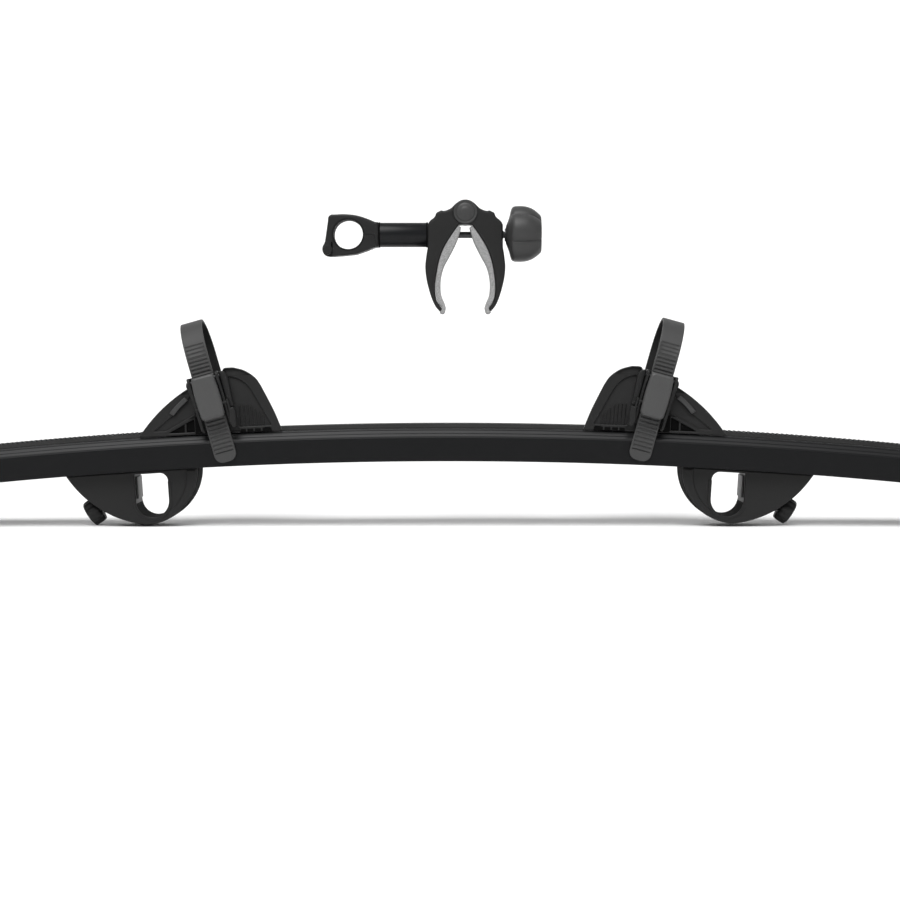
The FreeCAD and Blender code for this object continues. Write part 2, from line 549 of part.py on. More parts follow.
def holder_pieces():
    wall_in = TYRE_GAP / 2
    wall_out = wall_in + BASE_WALL
    base = box(BASE_START, BASE_END, -wall_out, wall_out, BASE_UNDERSIDE, BASE_TOP)
    for flip in (1, -1):
        low, high = sorted((flip * wall_in, flip * wall_out))
        base = base.fuse(box(BASE_START, BASE_END, low, high, HOLDER_FOOT, BASE_WALL_TOP))
    for x in CLAMP_BOLT_PLACES:
        for y in (-CLAMP_BOLT_Y, CLAMP_BOLT_Y):
            base = base.cut(rod(CLAMP_BOLT_RADIUS + SEAT_GAP, (x, y, 30), (x, y, BASE_TOP + 1)))
    near = make_cheek(1.0)
    far = make_cheek(FAR_CHEEK_SHARE).mirror(FreeCAD.Vector(0, 0, 0), ACROSS)
    ratchet = make_ratchet_base()
    pin_y = STRAP_FAR
    ears = [side_slab([(CHEEK_OUTSIDE - 1, 78), (pin_y + 4.5, 80), (pin_y + 4.5, 91), (CHEEK_OUTSIDE - 1, 94)],
                      w, w + EAR_OUTER - EAR_INNER) for w in (-EAR_OUTER, EAR_INNER)]
    room = EAR_INNER - SEAT_GAP
    gap = box(-room, room, CHEEK_INSIDE - 1, CHEEK_OUTSIDE + 9, 76, 97)
    far = far.multiFuse([lean(ear) for ear in ears]).cut(lean(gap))
    far = tidy(far.cut(lean(sideways(STRAP_PIN_RADIUS + PIN_GAP, pin_y, STRAP_PIN_H,
                                     -EAR_OUTER - 4, EAR_OUTER + 4))))

    screws = []
    for x in CHEEK_SCREW_PLACES:
        for side in (-1, 1):
            head = Part.makeCone(3.3, 1.6, 1.7, FreeCAD.Vector(x, side * wall_in, 53),
                                 FreeCAD.Vector(0, side, 0))
            shank = rod(1.6, (x, side * wall_in, 53), (x, side * (CHEEK_OUTSIDE - 2.6), 53))
            screws.append(tidy(head.fuse(shank)))
    for screw in screws:
        base, near, far = base.cut(screw), near.cut(screw), far.cut(screw)

    bars = []
    bolts = []
    for side in (-1, 1):
        low, high = sorted((side * (WEB_OUTER + 1.5), side * (LIP_EDGE + 4.5)))
        plate_under = TRACK_TOP - TRACK_PLATE - RUNNING_GAP
        bar = box(-42, 42, low, high, plate_under - 5, plate_under)
        low, high = sorted((side * (LIP_EDGE + 0.6), side * (LIP_EDGE + 3)))
        bar = bar.fuse(box(-42, 42, low, high, plate_under - 1, RAIL_HEIGHT - WALL - RUNNING_GAP))
        for x in CLAMP_BOLT_PLACES:
            y = side * CLAMP_BOLT_Y
            bar = bar.cut(rod(CLAMP_BOLT_RADIUS + PIN_GAP, (x, y, 20), (x, y, 40)))
            bolts.append(rod(CLAMP_BOLT_RADIUS, (x, y, plate_under - 8), (x, y, BASE_TOP)).fuse(
                rod(4.2, (x, y, BASE_TOP), (x, y, BASE_TOP + 3))))
        bars.append(tidy(bar))

    lever_pin = sideways(SMALL_PIN_RADIUS, *LEVER_PIN, -FLANGE_OUTER - 0.8, FLANGE_OUTER + 0.8)
    strap_pin = sideways(STRAP_PIN_RADIUS, pin_y, STRAP_PIN_H, -EAR_OUTER - 0.5, EAR_OUTER + 0.5)
    y, h = PAWL_PIN
    coil = STRAP_WIDTH / 2 - 3.2
    spring = sideways(3.2, y, h, coil, coil + 1.5)
    spring = spring.cut(sideways(SMALL_PIN_RADIUS + RUNNING_GAP, y, h, coil - 1, coil + 3))
    return {"cradle_base": tidy(base), "near_cheek": near, "far_cheek": far,
            "cheek_screws": Part.makeCompound(screws), "clamp_bars": Part.makeCompound(bars),
            "clamp_bolts": Part.makeCompound(bolts), "strap": lean(make_strap()),
            "strap_pin": lean(strap_pin), "ratchet_base": lean(ratchet),
            "ratchet_lever": lean(make_lever()), "lever_pin": lean(lever_pin),
            "release_pawl": lean(make_pawl()), "pawl_spring": lean(spring)}


# ---------------------------------------------------------------- frame arm
def make_ring():
    """Split ring clamp: the bracket's upper half, and a gate hinged at the lower left."""
    half = RING_WIDTH / 2
    hx, hz = GATE_HINGE
    whole = slab(outline((-25.5, -9), [(-22.3, 13)], [(-21.5, 19), (-16, 21.6)],
                         [(-4, 22), (9, 20.7)], [(29.5, TUBE_RADIUS)], [(BRACKET_END, TUBE_RADIUS)],
                         [(BRACKET_END, -TUBE_RADIUS)], [(27, -14.6)], [(9, -21.4)],
                         [(-6, -23), (-20, -24)], [(-27.5, -22), (-27.8, -14)]), -half, half)
    bore = across(RING_BORE + LINER_THICKNESS, 0, 0, -half - 1, half + 1)
    reach = across(GATE_REACH, hx, hz, -half - 1, half + 1)
    low = outline((-60, RING_PARTING_LEFT), [(0, RING_PARTING_LEFT)], [(0, 0)], [(60, 0)],
                  [(60, -60)], [(-60, -60)])
    lower_zone = slab(low, -half - 1, half + 1).common(reach)
    shrunk = slab(low, -half - 1, half + 1)
    shrunk.translate(FreeCAD.Vector(0, 0, -RUNNING_GAP))
    shrunk = shrunk.common(across(GATE_REACH - RUNNING_GAP, hx, hz, -half - 1, half + 1))
    knuckle_z = RING_PARTING_LEFT + 1
    outer_knuckles = []
    for side in (-1, 1):
        inner, outer = sorted((side * (GATE_KNUCKLE_HALF + RUNNING_GAP), side * half))
        outer_knuckles.append(across(GATE_KNUCKLE_RADIUS, hx, hz, inner, outer))
        outer_knuckles.append(box(hx - 4, hx + 3.5, inner, outer, hz, knuckle_z))
    clear = []
    for side in (-1, 1):
        inner, outer = sorted((side * GATE_KNUCKLE_HALF, side * (half + 1)))
        clear.append(box(hx - 9, hx + 5.6, inner, outer, hz - 9, knuckle_z + 3))
    bracket = whole.cut(lower_zone).multiFuse(outer_knuckles).cut(bore)
    spigot = rod(TUBE_RADIUS - TUBE_WALL - SEAT_GAP, (BRACKET_END - 2, 0, 0), (BRACKET_END + SPIGOT, 0, 0))
    bracket = bracket.fuse(spigot)
    gate = whole.common(shrunk).multiFuse([across(GATE_KNUCKLE_RADIUS, hx, hz, -GATE_KNUCKLE_HALF,
                                                  GATE_KNUCKLE_HALF)])
    heel = box(hx - 9, hx, -half - 1, half + 1, RING_PARTING_LEFT - 1.2, 0)
    gate = gate.cut(bore).cut(clear[0].multiFuse(clear[1:])).cut(heel)
    pin_hole = across(GATE_PIN_RADIUS + PIN_GAP, hx, hz, -half - 1, half + 1)
    x = GATE_SCREW_X
    head_top = -11.0
    gate = gate.cut(rod(GATE_SCREW_HEAD + RUNNING_GAP, (x, 0, -30), (x, 0, head_top + GATE_SCREW_TRAVEL)))
    gate = gate.cut(rod(GATE_SCREW_RADIUS + RUNNING_GAP, (x, 0, -30), (x, 0, 1)))
    bracket = bracket.cut(rod(GATE_SCREW_RADIUS + PIN_GAP, (x, 0, -1), (x, 0, GATE_SCREW_TRAVEL + 1)))
    screw = rod(GATE_SCREW_RADIUS, (x, 0, head_top), (x, 0, -1)).fuse(
        rod(GATE_SCREW_HEAD, (x, 0, head_top - 5), (x, 0, head_top)))
    socket = Part.makePolygon([FreeCAD.Vector(x + 2.3 * math.cos(math.radians(60 * i)),
                                              2.3 * math.sin(math.radians(60 * i)), head_top - 6)
                               for i in range(7)])
    screw = screw.cut(Part.Face(socket).extrude(FreeCAD.Vector(0, 0, 3.5)))
    sleeve = across(RING_BORE + LINER_THICKNESS, 0, 0, -half, half)
    sleeve = sleeve.cut(across(RING_BORE, 0, 0, -half - 1, half + 1))
    return {"ring_bracket": tidy(bracket.cut(pin_hole)), "ring_gate": tidy(gate.cut(pin_hole)),
            "gate_hinge_pin": across(GATE_PIN_RADIUS, hx, hz, -half, half), "gate_screw": tidy(screw),
            "ring_liner_upper": tidy(sleeve.cut(lower_zone)), "ring_liner_lower": tidy(sleeve.common(shrunk))}


def jaw_outline():
    """Fixed jaw from the pivot (at 0, 0): shoulder, long outer curve, tip, and pad seat."""
    return outline((0, 11.5), [(-9, 9.5), (-15.5, 3)], [(-21, 1.2), (-27.5, 0.4)],
                   [(-33, -2), (-35, -7)], [(-39.6, -11), (JAW_FACE, -14)], [(JAW_FACE, -38)],
                   [(-42.6, -48), (-43.7, -60), (-42.2, -74), (-38, -90), (-33.5, -101), (-28.5, -107.5)],
                   [(-26, -107), (-26.2, -104)],
                   [(-31.5, -95), (-33, -82), (-31.8, -68), (-28.6, -52), (-23, -37.5), (-14, -23), (-7, -13.5)],
                   [(0, -11)])


def pad_outline():
    """Soft jaw pad: thick near the pivot, thin down the jaw, hooked round the tip."""
    return outline((-7.6, -14.6), [(-4.4, -16)], [(-6.2, -23), (-10.3, -34), (-16.9, -47.2),
                                                  (-23, -58.5), (-26.3, -70), (-27.1, -81), (-26, -91),
                                                  (-22.6, -99), (-21, -104)],
                   [(-21.5, -109.5), (-27.5, -109)], [(-26.4, -107.2), (-25.7, -104)],
                   [(-31.2, -95), (-32.7, -82), (-31.5, -68), (-28.3, -52), (-22.7, -37.5),
                    (-13.7, -23), (-7.6, -14.6)])


def knob_face(scale):
    """Lobed outline in the YZ plane: five wide lobes round a disc, one of them upward."""
    lobe_radius = 12.6 * scale
    reach = KNOB_RADIUS * scale - lobe_radius
    discs = [Part.makeCylinder(24.5 * scale, 60, FreeCAD.Vector(0, 0, 0), FreeCAD.Vector(1, 0, 0))]
    for i in range(KNOB_LOBES):
        turn = 2 * math.pi * i / KNOB_LOBES
        centre = FreeCAD.Vector(0, reach * math.sin(turn), reach * math.cos(turn))
        discs.append(Part.makeCylinder(lobe_radius, 60, centre, FreeCAD.Vector(1, 0, 0)))
    return discs[0].multiFuse(discs[1:])


def spun(points):
    """Solid of revolution about the rod's axis from (x, radius) corners."""
    corners = [FreeCAD.Vector(x, 0, r) for x, r in points]
    face = Part.Face(Part.makePolygon(corners + corners[:1]))
    return face.revolve(FreeCAD.Vector(0, 0, 0), FreeCAD.Vector(1, 0, 0), 360)


def clamp_pieces():
    """Everything about the jaws, modelled with the pivot at 0, 0 and the rod level below it."""
    half = JAW_DEPTH / 2
    rod_z = -JAW_PIVOT[1]
    jaw = slab(jaw_outline(), -half, half)
    pad = tidy(slab(pad_outline(), 1 - half, half - 1).cut(jaw))
    flip = (FreeCAD.Vector(0, 0, 0), FreeCAD.Vector(1, 0, 0))
    moving = jaw.mirror(*flip)
    moving_pad = pad.mirror(*flip)
    boss = JAW_BOSS + RUNNING_GAP
    middle = JAW_KNUCKLE_HALF
    fixed = jaw.cut(across(boss, 0, 0, middle, half + 1)).cut(across(boss, 0, 0, -half - 1, -middle))
    fixed = fixed.fuse(across(JAW_BOSS, 0, 0, -middle, middle))
    gap = middle + RUNNING_GAP
    moving = moving.cut(across(boss, 0, 0, -gap, gap))
    moving = moving.fuse(across(JAW_BOSS, 0, 0, gap, half)).fuse(across(JAW_BOSS, 0, 0, -half, -gap))
    pin_hole = across(PIVOT_PIN_RADIUS + PIN_GAP, 0, 0, -half - 1, half + 1)
    slot_half = ROD_RADIUS + 1.2
    fixed_slot = slab(outline((ANCHOR_X, rod_z - 5), [(0, rod_z - 12)], [(0, rod_z + 12)],
                              [(ANCHOR_X, rod_z + 5)]), -slot_half, slot_half)
    moving_slot = slab(outline((0, rod_z - 12), [(THRUST_X, rod_z - 5)], [(50, rod_z - 8)],
                               [(50, rod_z + 8)], [(THRUST_X, rod_z + 5)], [(0, rod_z + 12)]),
                       -slot_half, slot_half)
    neck_room = slab(outline((THRUST_X + 3, rod_z - 9), [(50, rod_z - 12)], [(50, rod_z + 12)],
                             [(THRUST_X + 3, rod_z + 9)]), -9, 9)
    barrel_fit = BARREL_RADIUS + RUNNING_GAP
    barrel_room = BARREL_HALF + RUNNING_GAP
    fixed = fixed.cut(pin_hole).cut(fixed_slot)
    fixed = fixed.cut(across(barrel_fit, ANCHOR_X, rod_z, -barrel_room, barrel_room))
    spigot = rod(TUBE_RADIUS - TUBE_WALL - SEAT_GAP, (JAW_FACE + 1, 0, rod_z), (JAW_FACE - SPIGOT, 0, rod_z))
    fixed = tidy(fixed.fuse(spigot))
    moving = moving.cut(pin_hole).cut(moving_slot).cut(neck_room)
    moving = tidy(moving.cut(across(barrel_fit, THRUST_X, rod_z, -barrel_room, barrel_room)))
    rod_hole = rod(ROD_RADIUS + 0.5, (-60, 0, rod_z), (60, 0, rod_z))
    anchor_hole = rod(ROD_RADIUS, (-60, 0, rod_z), (60, 0, rod_z))
    pin = across(PIVOT_PIN_RADIUS, 0, 0, -half - PIVOT_CAP_HEIGHT, half + PIVOT_CAP_HEIGHT)
    for side in (-1, 1):
        cap = Part.makeCylinder(PIVOT_CAP_RADIUS, PIVOT_CAP_HEIGHT,
                                FreeCAD.Vector(0, side * (half + SEAT_GAP), 0), FreeCAD.Vector(0, side, 0))
        face_y = side * (half + SEAT_GAP + PIVOT_CAP_HEIGHT)
        cap = rounded(cap, 2.6, lambda e: abs(e.BoundBox.Center.y - face_y) < 0.01
                      and e.BoundBox.YLength < 0.01)
        pin = pin.fuse(cap)
    body = spun([(KNOB_BACK - 1, 0), (KNOB_BACK - 1, 17), (KNOB_BACK, 28), (KNOB_BACK + 3, KNOB_RADIUS + 1),
                 (66, KNOB_RADIUS + 1), (71, 29.5), (77.6, 26.5), (81.5, 24), (KNOB_FRONT, 22), (KNOB_FRONT, 0)])
    shell = knob_face(1.0)
    shell.translate(FreeCAD.Vector(KNOB_BACK - 5, 0, 0))
    knob = shell.common(body)
    insert_end = 66.0
    insert = spun([(KNOB_BACK - 1, ROD_RADIUS + PIN_GAP), (KNOB_BACK - 1, 8), (insert_end, 8),
                   (insert_end, ROD_RADIUS + PIN_GAP)])
    knob = knob.cut(rod(8 + SEAT_GAP, (40, 0, 0), (insert_end + SEAT_GAP, 0, 0)))
    knob = tidy(knob.cut(rod(ROD_RADIUS + 0.5, (40, 0, 0), (ROD_END + KNOB_TRAVEL_IN + 0.5, 0, 0))))
    washer = spun([(THRUST_X + BARREL_RADIUS + 0.3, ROD_RADIUS + 0.3), (THRUST_X + BARREL_RADIUS + 0.3, 7),
                   (KNOB_BACK - 1.3, 8), (KNOB_BACK - 1.3, ROD_RADIUS + 0.3)])
    for piece in (knob, insert, washer):
        piece.translate(FreeCAD.Vector(0, 0, rod_z))
    return {"fixed_jaw": fixed, "moving_jaw": moving, "fixed_jaw_pad": tidy(pad.cut(fixed_slot)),
            "moving_jaw_pad": tidy(moving_pad.cut(moving_slot)), "pivot_pin": tidy(pin),
            "rod_anchor": across(BARREL_RADIUS, ANCHOR_X, rod_z, -BARREL_HALF, BARREL_HALF).cut(anchor_hole),
            "thrust_barrel": across(BARREL_RADIUS, THRUST_X, rod_z, -BARREL_HALF, BARREL_HALF).cut(rod_hole),
            "draw_rod": rod(ROD_RADIUS, (ANCHOR_X - 4.5, 0, rod_z), (ROD_END, 0, rod_z)),
            "clamp_knob": knob, "knob_insert": insert, "thrust_washer": washer}


def arm_pieces():
    pieces = make_ring()
    tube = rod(TUBE_RADIUS, (BRACKET_END, 0, 0), (JAW_PIVOT[0] + JAW_FACE, 0, 0))
    pieces["arm_tube"] = tube.cut(rod(TUBE_RADIUS - TUBE_WALL, (0, 0, 0), (200, 0, 0)))
    for name, shape in clamp_pieces().items():
        shape.translate(FreeCAD.Vector(JAW_PIVOT[0], 0, JAW_PIVOT[1]))
        pieces[name] = shape
    for shape in pieces.values():
        shape.translate(FreeCAD.Vector(ARM_X, 0, CROWN + ARM_HEIGHT))
    return pieces


# ---------------------------------------------------------------- the whole kit
def all_pieces():
    mats, strip = make_mats()
    nodes = {"rail": make_rail(), "bed_mats": mats, "bed_strip": strip,
             "rail_end_caps": make_end_caps()}
    foot = foot_pieces()
    bolts, nuts = foot.pop("bolts"), foot.pop("nuts")
    for side, place in FOOT_PLACE.items():
        for name, shape in foot.items():
            nodes[f"{side}_{name}"] = on_rail(shape, place)
    places = FOOT_PLACE.values()
    nodes["foot_bolts"] = Part.makeCompound([on_rail(b, place) for place in places for b in bolts])
    nodes["foot_nuts"] = Part.makeCompound([on_rail(n, place) for place in places for n in nuts])
    holder = holder_pieces()
    for side, place in HOLDER_PLACE.items():
        for name, shape in holder.items():
            nodes[f"{side}_{name}"] = on_rail(shape, place)
    nodes.update({"arm_" + name if name.startswith("clamp") else name: shape
                  for name, shape in arm_pieces().items()})
    return nodes


os.makedirs("parts", exist_ok=True)
for node, shape in all_pieces().items():
    if not shape.isValid() or shape.Volume <= 0:
        raise ValueError(f"{node} is not a sound solid")
    shape.exportStep(f"parts/{node}.step")
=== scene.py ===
import json
import math

import bmesh
import bpy
import numpy as np
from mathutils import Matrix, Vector
from mathutils.geometry import tessellate_polygon


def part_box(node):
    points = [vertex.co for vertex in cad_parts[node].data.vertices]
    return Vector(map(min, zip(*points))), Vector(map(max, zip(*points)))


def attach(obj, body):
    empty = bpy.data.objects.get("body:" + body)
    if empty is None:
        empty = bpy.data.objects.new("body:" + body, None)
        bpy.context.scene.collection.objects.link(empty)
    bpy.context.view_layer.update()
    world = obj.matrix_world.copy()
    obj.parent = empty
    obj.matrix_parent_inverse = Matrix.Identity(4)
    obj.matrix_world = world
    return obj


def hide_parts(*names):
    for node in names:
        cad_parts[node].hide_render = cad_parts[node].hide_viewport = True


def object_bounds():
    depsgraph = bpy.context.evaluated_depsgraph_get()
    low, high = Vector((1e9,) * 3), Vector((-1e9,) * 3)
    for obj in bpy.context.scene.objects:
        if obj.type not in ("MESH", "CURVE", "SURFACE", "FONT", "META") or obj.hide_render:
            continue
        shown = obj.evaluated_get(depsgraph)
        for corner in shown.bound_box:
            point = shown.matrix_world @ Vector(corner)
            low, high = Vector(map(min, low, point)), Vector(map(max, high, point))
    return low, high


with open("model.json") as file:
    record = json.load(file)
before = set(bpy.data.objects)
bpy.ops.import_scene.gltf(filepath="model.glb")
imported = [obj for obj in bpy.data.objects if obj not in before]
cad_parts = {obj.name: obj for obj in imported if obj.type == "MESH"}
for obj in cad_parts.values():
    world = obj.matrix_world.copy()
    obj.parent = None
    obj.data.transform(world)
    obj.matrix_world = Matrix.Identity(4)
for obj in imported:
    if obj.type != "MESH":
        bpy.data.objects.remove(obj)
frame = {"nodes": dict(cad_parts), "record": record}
cad_low, cad_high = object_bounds()

# Lengths are millimetres until make() makes them metres. X runs along the rail, Y across it
# (the viewer is at -Y), Z up, as in the frame.
MM = 0.001
joints = {joint["name"]: joint for joint in frame["record"]["behaviour"]["joints"]}
mounts = {mount["name"]: mount for mount in frame["record"]["mounts"]}

RAIL_HEIGHT = 35.5
RAIL_HALF = 646.0
STRIP_HALF = 190.0
MAT_GAP = 0.3
RIB_PITCH = 5.3
LAST_RIB = 643.0
ARCH_Z = joints["left_holder_slide"]["pos_m"][2] / MM
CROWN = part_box("rail")[1].z / MM - RAIL_HEIGHT
RADIUS = CROWN - ARCH_Z

# the holders: w runs across the strap, y across the rail, heights are over the rail's underside
CHEEK_IN = 31.5
CHEEK_OUT = 36.0
HOLDER_FOOT = 35.8
FAR_SHARE = 0.9
SKIN = CHEEK_OUT - 1.9
LEAN = math.radians(13.0)
STRAP_ROOT = -9.5
LEVER_PIN_H = 97.5
LEVER_PIN_Y = -47.8
LEVER_FRONT = -56.0
LEVER_BACK = -43.6
STRAP_NEAR = -41.5
STRAP_FAR = 38.0
STRAP_MIDDLE = (STRAP_NEAR + STRAP_FAR) / 2
STRAP_REACH = (STRAP_FAR - STRAP_NEAR) / 2
STRAP_HALF_WIDTH = 12.0
STRAP_HALF_THICK = 1.5
STRAP_SPRING = 121.5
STRAP_TIP = 5.5
STRAP_END = 80.0
FIRST_TOOTH = 10.5
LAST_TOOTH = 136.0
TOOTH_DEPTH = 1.35
PAWL_PIN = (-47.5, 68.0)

# the clamp feet
FOOT_HALF = 25.0
FOOT_BOLTS = (-36.0, 80.0)
SCREW_SLOPE = math.radians(30.0)
KNOB_FACE = (73.5, -46.5)

# the frame arm
RING_HALF = 15.0
RING_BORE = 18.0
PARTING_STEP = 8.0
GATE_HINGE = (-22.5, -16.5)
GATE_REACH = 53.0
GATE_GAP = 0.3
GATE_SCREW_X = 22.4
TUBE_RADIUS = 13.4
JAW_HALF = 16.0
KNUCKLE_RADIUS = 13.5
ROD_DROP = 24.2
SLOT_HALF = 4.7
RING = [v / MM for v in mounts["arm_ring"]["pos_m"]]
PIVOT = [v / MM for v in joints["moving_jaw_swing"]["pos_m"]]

# the view
EYE_BACK = 2300.0
EYE_OVER_CROWN = 131.2
EYE_TIP = math.radians(3.01)


def arch_angle(point):
    """Angle from the crown, about the arch's centre, of a point given in metres."""
    return math.atan2(point[0] / MM, point[2] / MM - ARCH_Z)


def holder_angle(side):
    """A holder's place: its lever pin's angle less the pin's own lean inside the holder."""
    pin = (STRAP_ROOT + LEVER_PIN_H * math.sin(LEAN), LEVER_PIN_H * math.cos(LEAN) + RADIUS)
    angle = arch_angle(joints[side + "_lever_lift"]["pos_m"])
    return angle - math.copysign(math.atan2(*pin), angle)


FOOT_ANGLE = {side: arch_angle(mounts[side + "_foot_clamp"]["pos_m"]) for side in ("left", "right")}
HOLDER_ANGLE = {side: holder_angle(side) for side in ("left", "right")}


# ---------------------------------------------------------------- outlines
def polygon(corners):
    """Corners joined by straight lines."""
    return np.array(corners, float)


def both_sides(half):
    """Close a half section with its mirror image across the rail's centre plane."""
    return polygon(half + [(-y, n) for y, n in reversed(half)])


def arc(a, b, c, steps=24):
    """Circle through three points, from the first to the last: the centre is equally far from
    all three, and the angle runs evenly round it."""
    (ax, az), (bx, bz), (cx, cz) = a, b, c
    d = 2 * (ax * (bz - cz) + bx * (cz - az) + cx * (az - bz))
    sa, sb, sc = ax * ax + az * az, bx * bx + bz * bz, cx * cx + cz * cz
    x = (sa * (bz - cz) + sb * (cz - az) + sc * (az - bz)) / d
    z = (sa * (cx - bx) + sb * (ax - cx) + sc * (bx - ax)) / d
    start, middle, end = (math.atan2(p[1] - z, p[0] - x) for p in (a, b, c))
    sweep = (end - start) % (2 * math.pi)
    if (middle - start) % (2 * math.pi) > sweep:
        sweep -= 2 * math.pi
    angles = start + sweep * np.linspace(0, 1, steps + 1)[1:]
    radius = math.hypot(ax - x, az - z)
    return np.column_stack((x + radius * np.cos(angles), z + radius * np.sin(angles)))


def spline(points, steps=8):
    """Smooth curve through points: on each stretch a cubic whose end slopes are half the chord
    between the neighbours."""
    points = np.array(points, float)
    slope = np.gradient(points, axis=0)
    t = np.linspace(0, 1, steps + 1)[1:, None, None]
    a, b, sa, sb = points[:-1], points[1:], slope[:-1], slope[1:]
    cubic = ((2 * t**3 - 3 * t**2 + 1) * a + (t**3 - 2 * t**2 + t) * sa
             + (3 * t**2 - 2 * t**3) * b + (t**3 - t**2) * sb)
    return cubic.transpose(1, 0, 2).reshape(-1, 2)


def trace(start, *steps):
    """Closed outline: a step holds one point for a line, two for an arc, more for a spline."""
    run = [np.array([start], float)]
    for step in steps:
        here = tuple(run[-1][-1])
        if len(step) == 1:
            run.append(np.array(step, float))
        elif len(step) == 2:
            run.append(arc(here, *step))
        else:
            run.append(spline([here, *step]))
    return np.concatenate(run)


def soften(loop, reach=1.0, spacing=0.9, hole=False):
    """Even the spacing along a closed outline and round its corners: each point becomes a
    bell-weighted mean of the outline within about reach each way."""
    closed = np.vstack((loop, loop[:1]))
    length = np.concatenate(([0], np.cumsum(np.linalg.norm(np.diff(closed, axis=0), axis=1))))
    count = max(12, int(length[-1] / spacing))
    at = np.linspace(0, length[-1], count, endpoint=False)
    even = np.column_stack([np.interp(at, length, closed[:, i]) for i in (0, 1)])
    bell = np.exp(-0.5 * (np.minimum(at, length[-1] - at) / (0.6 * reach)) ** 2)
    weight = np.fft.fft(bell / bell.sum())
    smooth = np.column_stack([np.fft.ifft(np.fft.fft(even[:, i]) * weight).real for i in (0, 1)])
    ahead = np.roll(smooth, -1, 0)
    area = np.sum(smooth[:, 0] * ahead[:, 1] - smooth[:, 1] * ahead[:, 0])
    return smooth if (area > 0) != hole else smooth[::-1]


def inset(loop, amount):
    """Move an outline towards its left, which is into the material, along mitred normals."""
    along = np.roll(loop, -1, 0) - loop
    along /= np.linalg.norm(along, axis=1, keepdims=True)
    left = np.column_stack((-along[:, 1], along[:, 0]))
    before = np.roll(left, 1, 0)
    return loop + amount * (left + before) / (1 + np.sum(left * before, axis=1))[:, None]


# ---------------------------------------------------------------- solids
def grid_faces(rows, columns, wrap=True, first=0):
    """Quads of a grid of points stored row by row, closed round its columns when wrap is set."""
    i = np.arange(rows - 1)[:, None] * columns
    j = np.arange(columns if wrap else columns - 1)
    k = (j + 1) % columns
    quads = np.stack((i + j, i + k, i + columns + k, i + columns + j), axis=-1)
    return (quads.reshape(-1, 4) + first).tolist()


def plate(loops, front, back, rim=1.0, rim_back=None, steps=4):
    """Solid between two depths. Each outline's edge is a quarter round: at angle a the wall is
    inset by rim x (1 - sin a) and stands rim x (1 - cos a) behind the face."""
    rim_back = rim if rim_back is None else rim_back
    turn = np.linspace(0, math.pi / 2, steps + 1)
    into = np.concatenate((rim * (1 - np.sin(turn)), rim_back * (1 - np.sin(turn[::-1]))))
    depth = np.concatenate((front + rim * (1 - np.cos(turn)),
                            back - rim_back * (1 - np.cos(turn[::-1]))))
    points, faces, caps, first = [], [], [], 0
    for loop in loops:
        rings = np.stack([np.insert(inset(loop, i), 1, d, axis=1) for i, d in zip(into, depth)])
        points.append(rings.reshape(-1, 3))
        faces += grid_faces(len(depth), len(loop), True, first)
        caps.append((first, rings))
        first += rings.shape[0] * rings.shape[1]
    flat = np.concatenate([np.arange(len(rings[0])) + start for start, rings in caps])
    tail = np.concatenate([np.arange(len(rings[0])) + start + (len(depth) - 1) * len(rings[0])
                           for start, rings in caps])
    for row, index in ((0, flat), (-1, tail)):
        polygons = [[Vector(p) for p in rings[row]] for _, rings in caps]
        faces += [[int(index[i]) for i in tri] for tri in tessellate_polygon(polygons)]
    return np.concatenate(points), faces


def turned(shell, axes):
    """Reorder a shell's axes, such as (1, 0, 2) to lay a plate across the strap's width."""
    return shell[0][:, axes], shell[1]


def lathe(profile, axis=(1, 0, 0), centre=(0, 0, 0), around=64, lobe=None):
    """Turned solid: (distance along the axis, radius) swept round; lobe(angle) scales the
    radius. One face closes each end."""
    profile = np.array(profile, float)
    axis = np.array(axis, float) / np.linalg.norm(axis)
    side = np.cross(axis, (0, 1, 0))
    if np.linalg.norm(side) < 1e-6:
        side = np.array((1.0, 0, 0))
    side /= np.linalg.norm(side)
    other = np.cross(axis, side)
    angle = np.linspace(0, 2 * math.pi, around, endpoint=False)
    scale = np.ones((len(profile), around)) if lobe is None else lobe(profile[:, :1], angle[None, :])
    radius = profile[:, 1:] * scale
    points = (np.array(centre) + profile[:, :1, None] * axis
              + (radius * np.cos(angle))[..., None] * side + (radius * np.sin(angle))[..., None] * other)
    faces = grid_faces(len(profile), around)
    ends = [list(range(around)), list(range((len(profile) - 1) * around, len(profile) * around))]
    return points.reshape(-1, 3), faces + ends


def rounded_profile(start, end, radius, rim, steps=5):
    """Profile of a plain turned bar with quarter-round ends."""
    turn = np.linspace(0, math.pi / 2, steps + 1)
    low = np.column_stack((start + rim * (1 - np.cos(turn)), radius - rim * (1 - np.sin(turn))))
    high = np.column_stack((end - rim * (1 - np.cos(turn[::-1])),
                            radius - rim * (1 - np.sin(turn[::-1]))))
    return np.vstack((low, high))


def block(x, y, z, rim=0.6):
    """Box between pairs of limits, with rounded edges."""
    loop = np.array([(x[0], z[0]), (x[1], z[0]), (x[1], z[1]), (x[0], z[1])], float)
    return plate([soften(loop, 0.6, 0.7)], y[0], y[1], rim, steps=3)


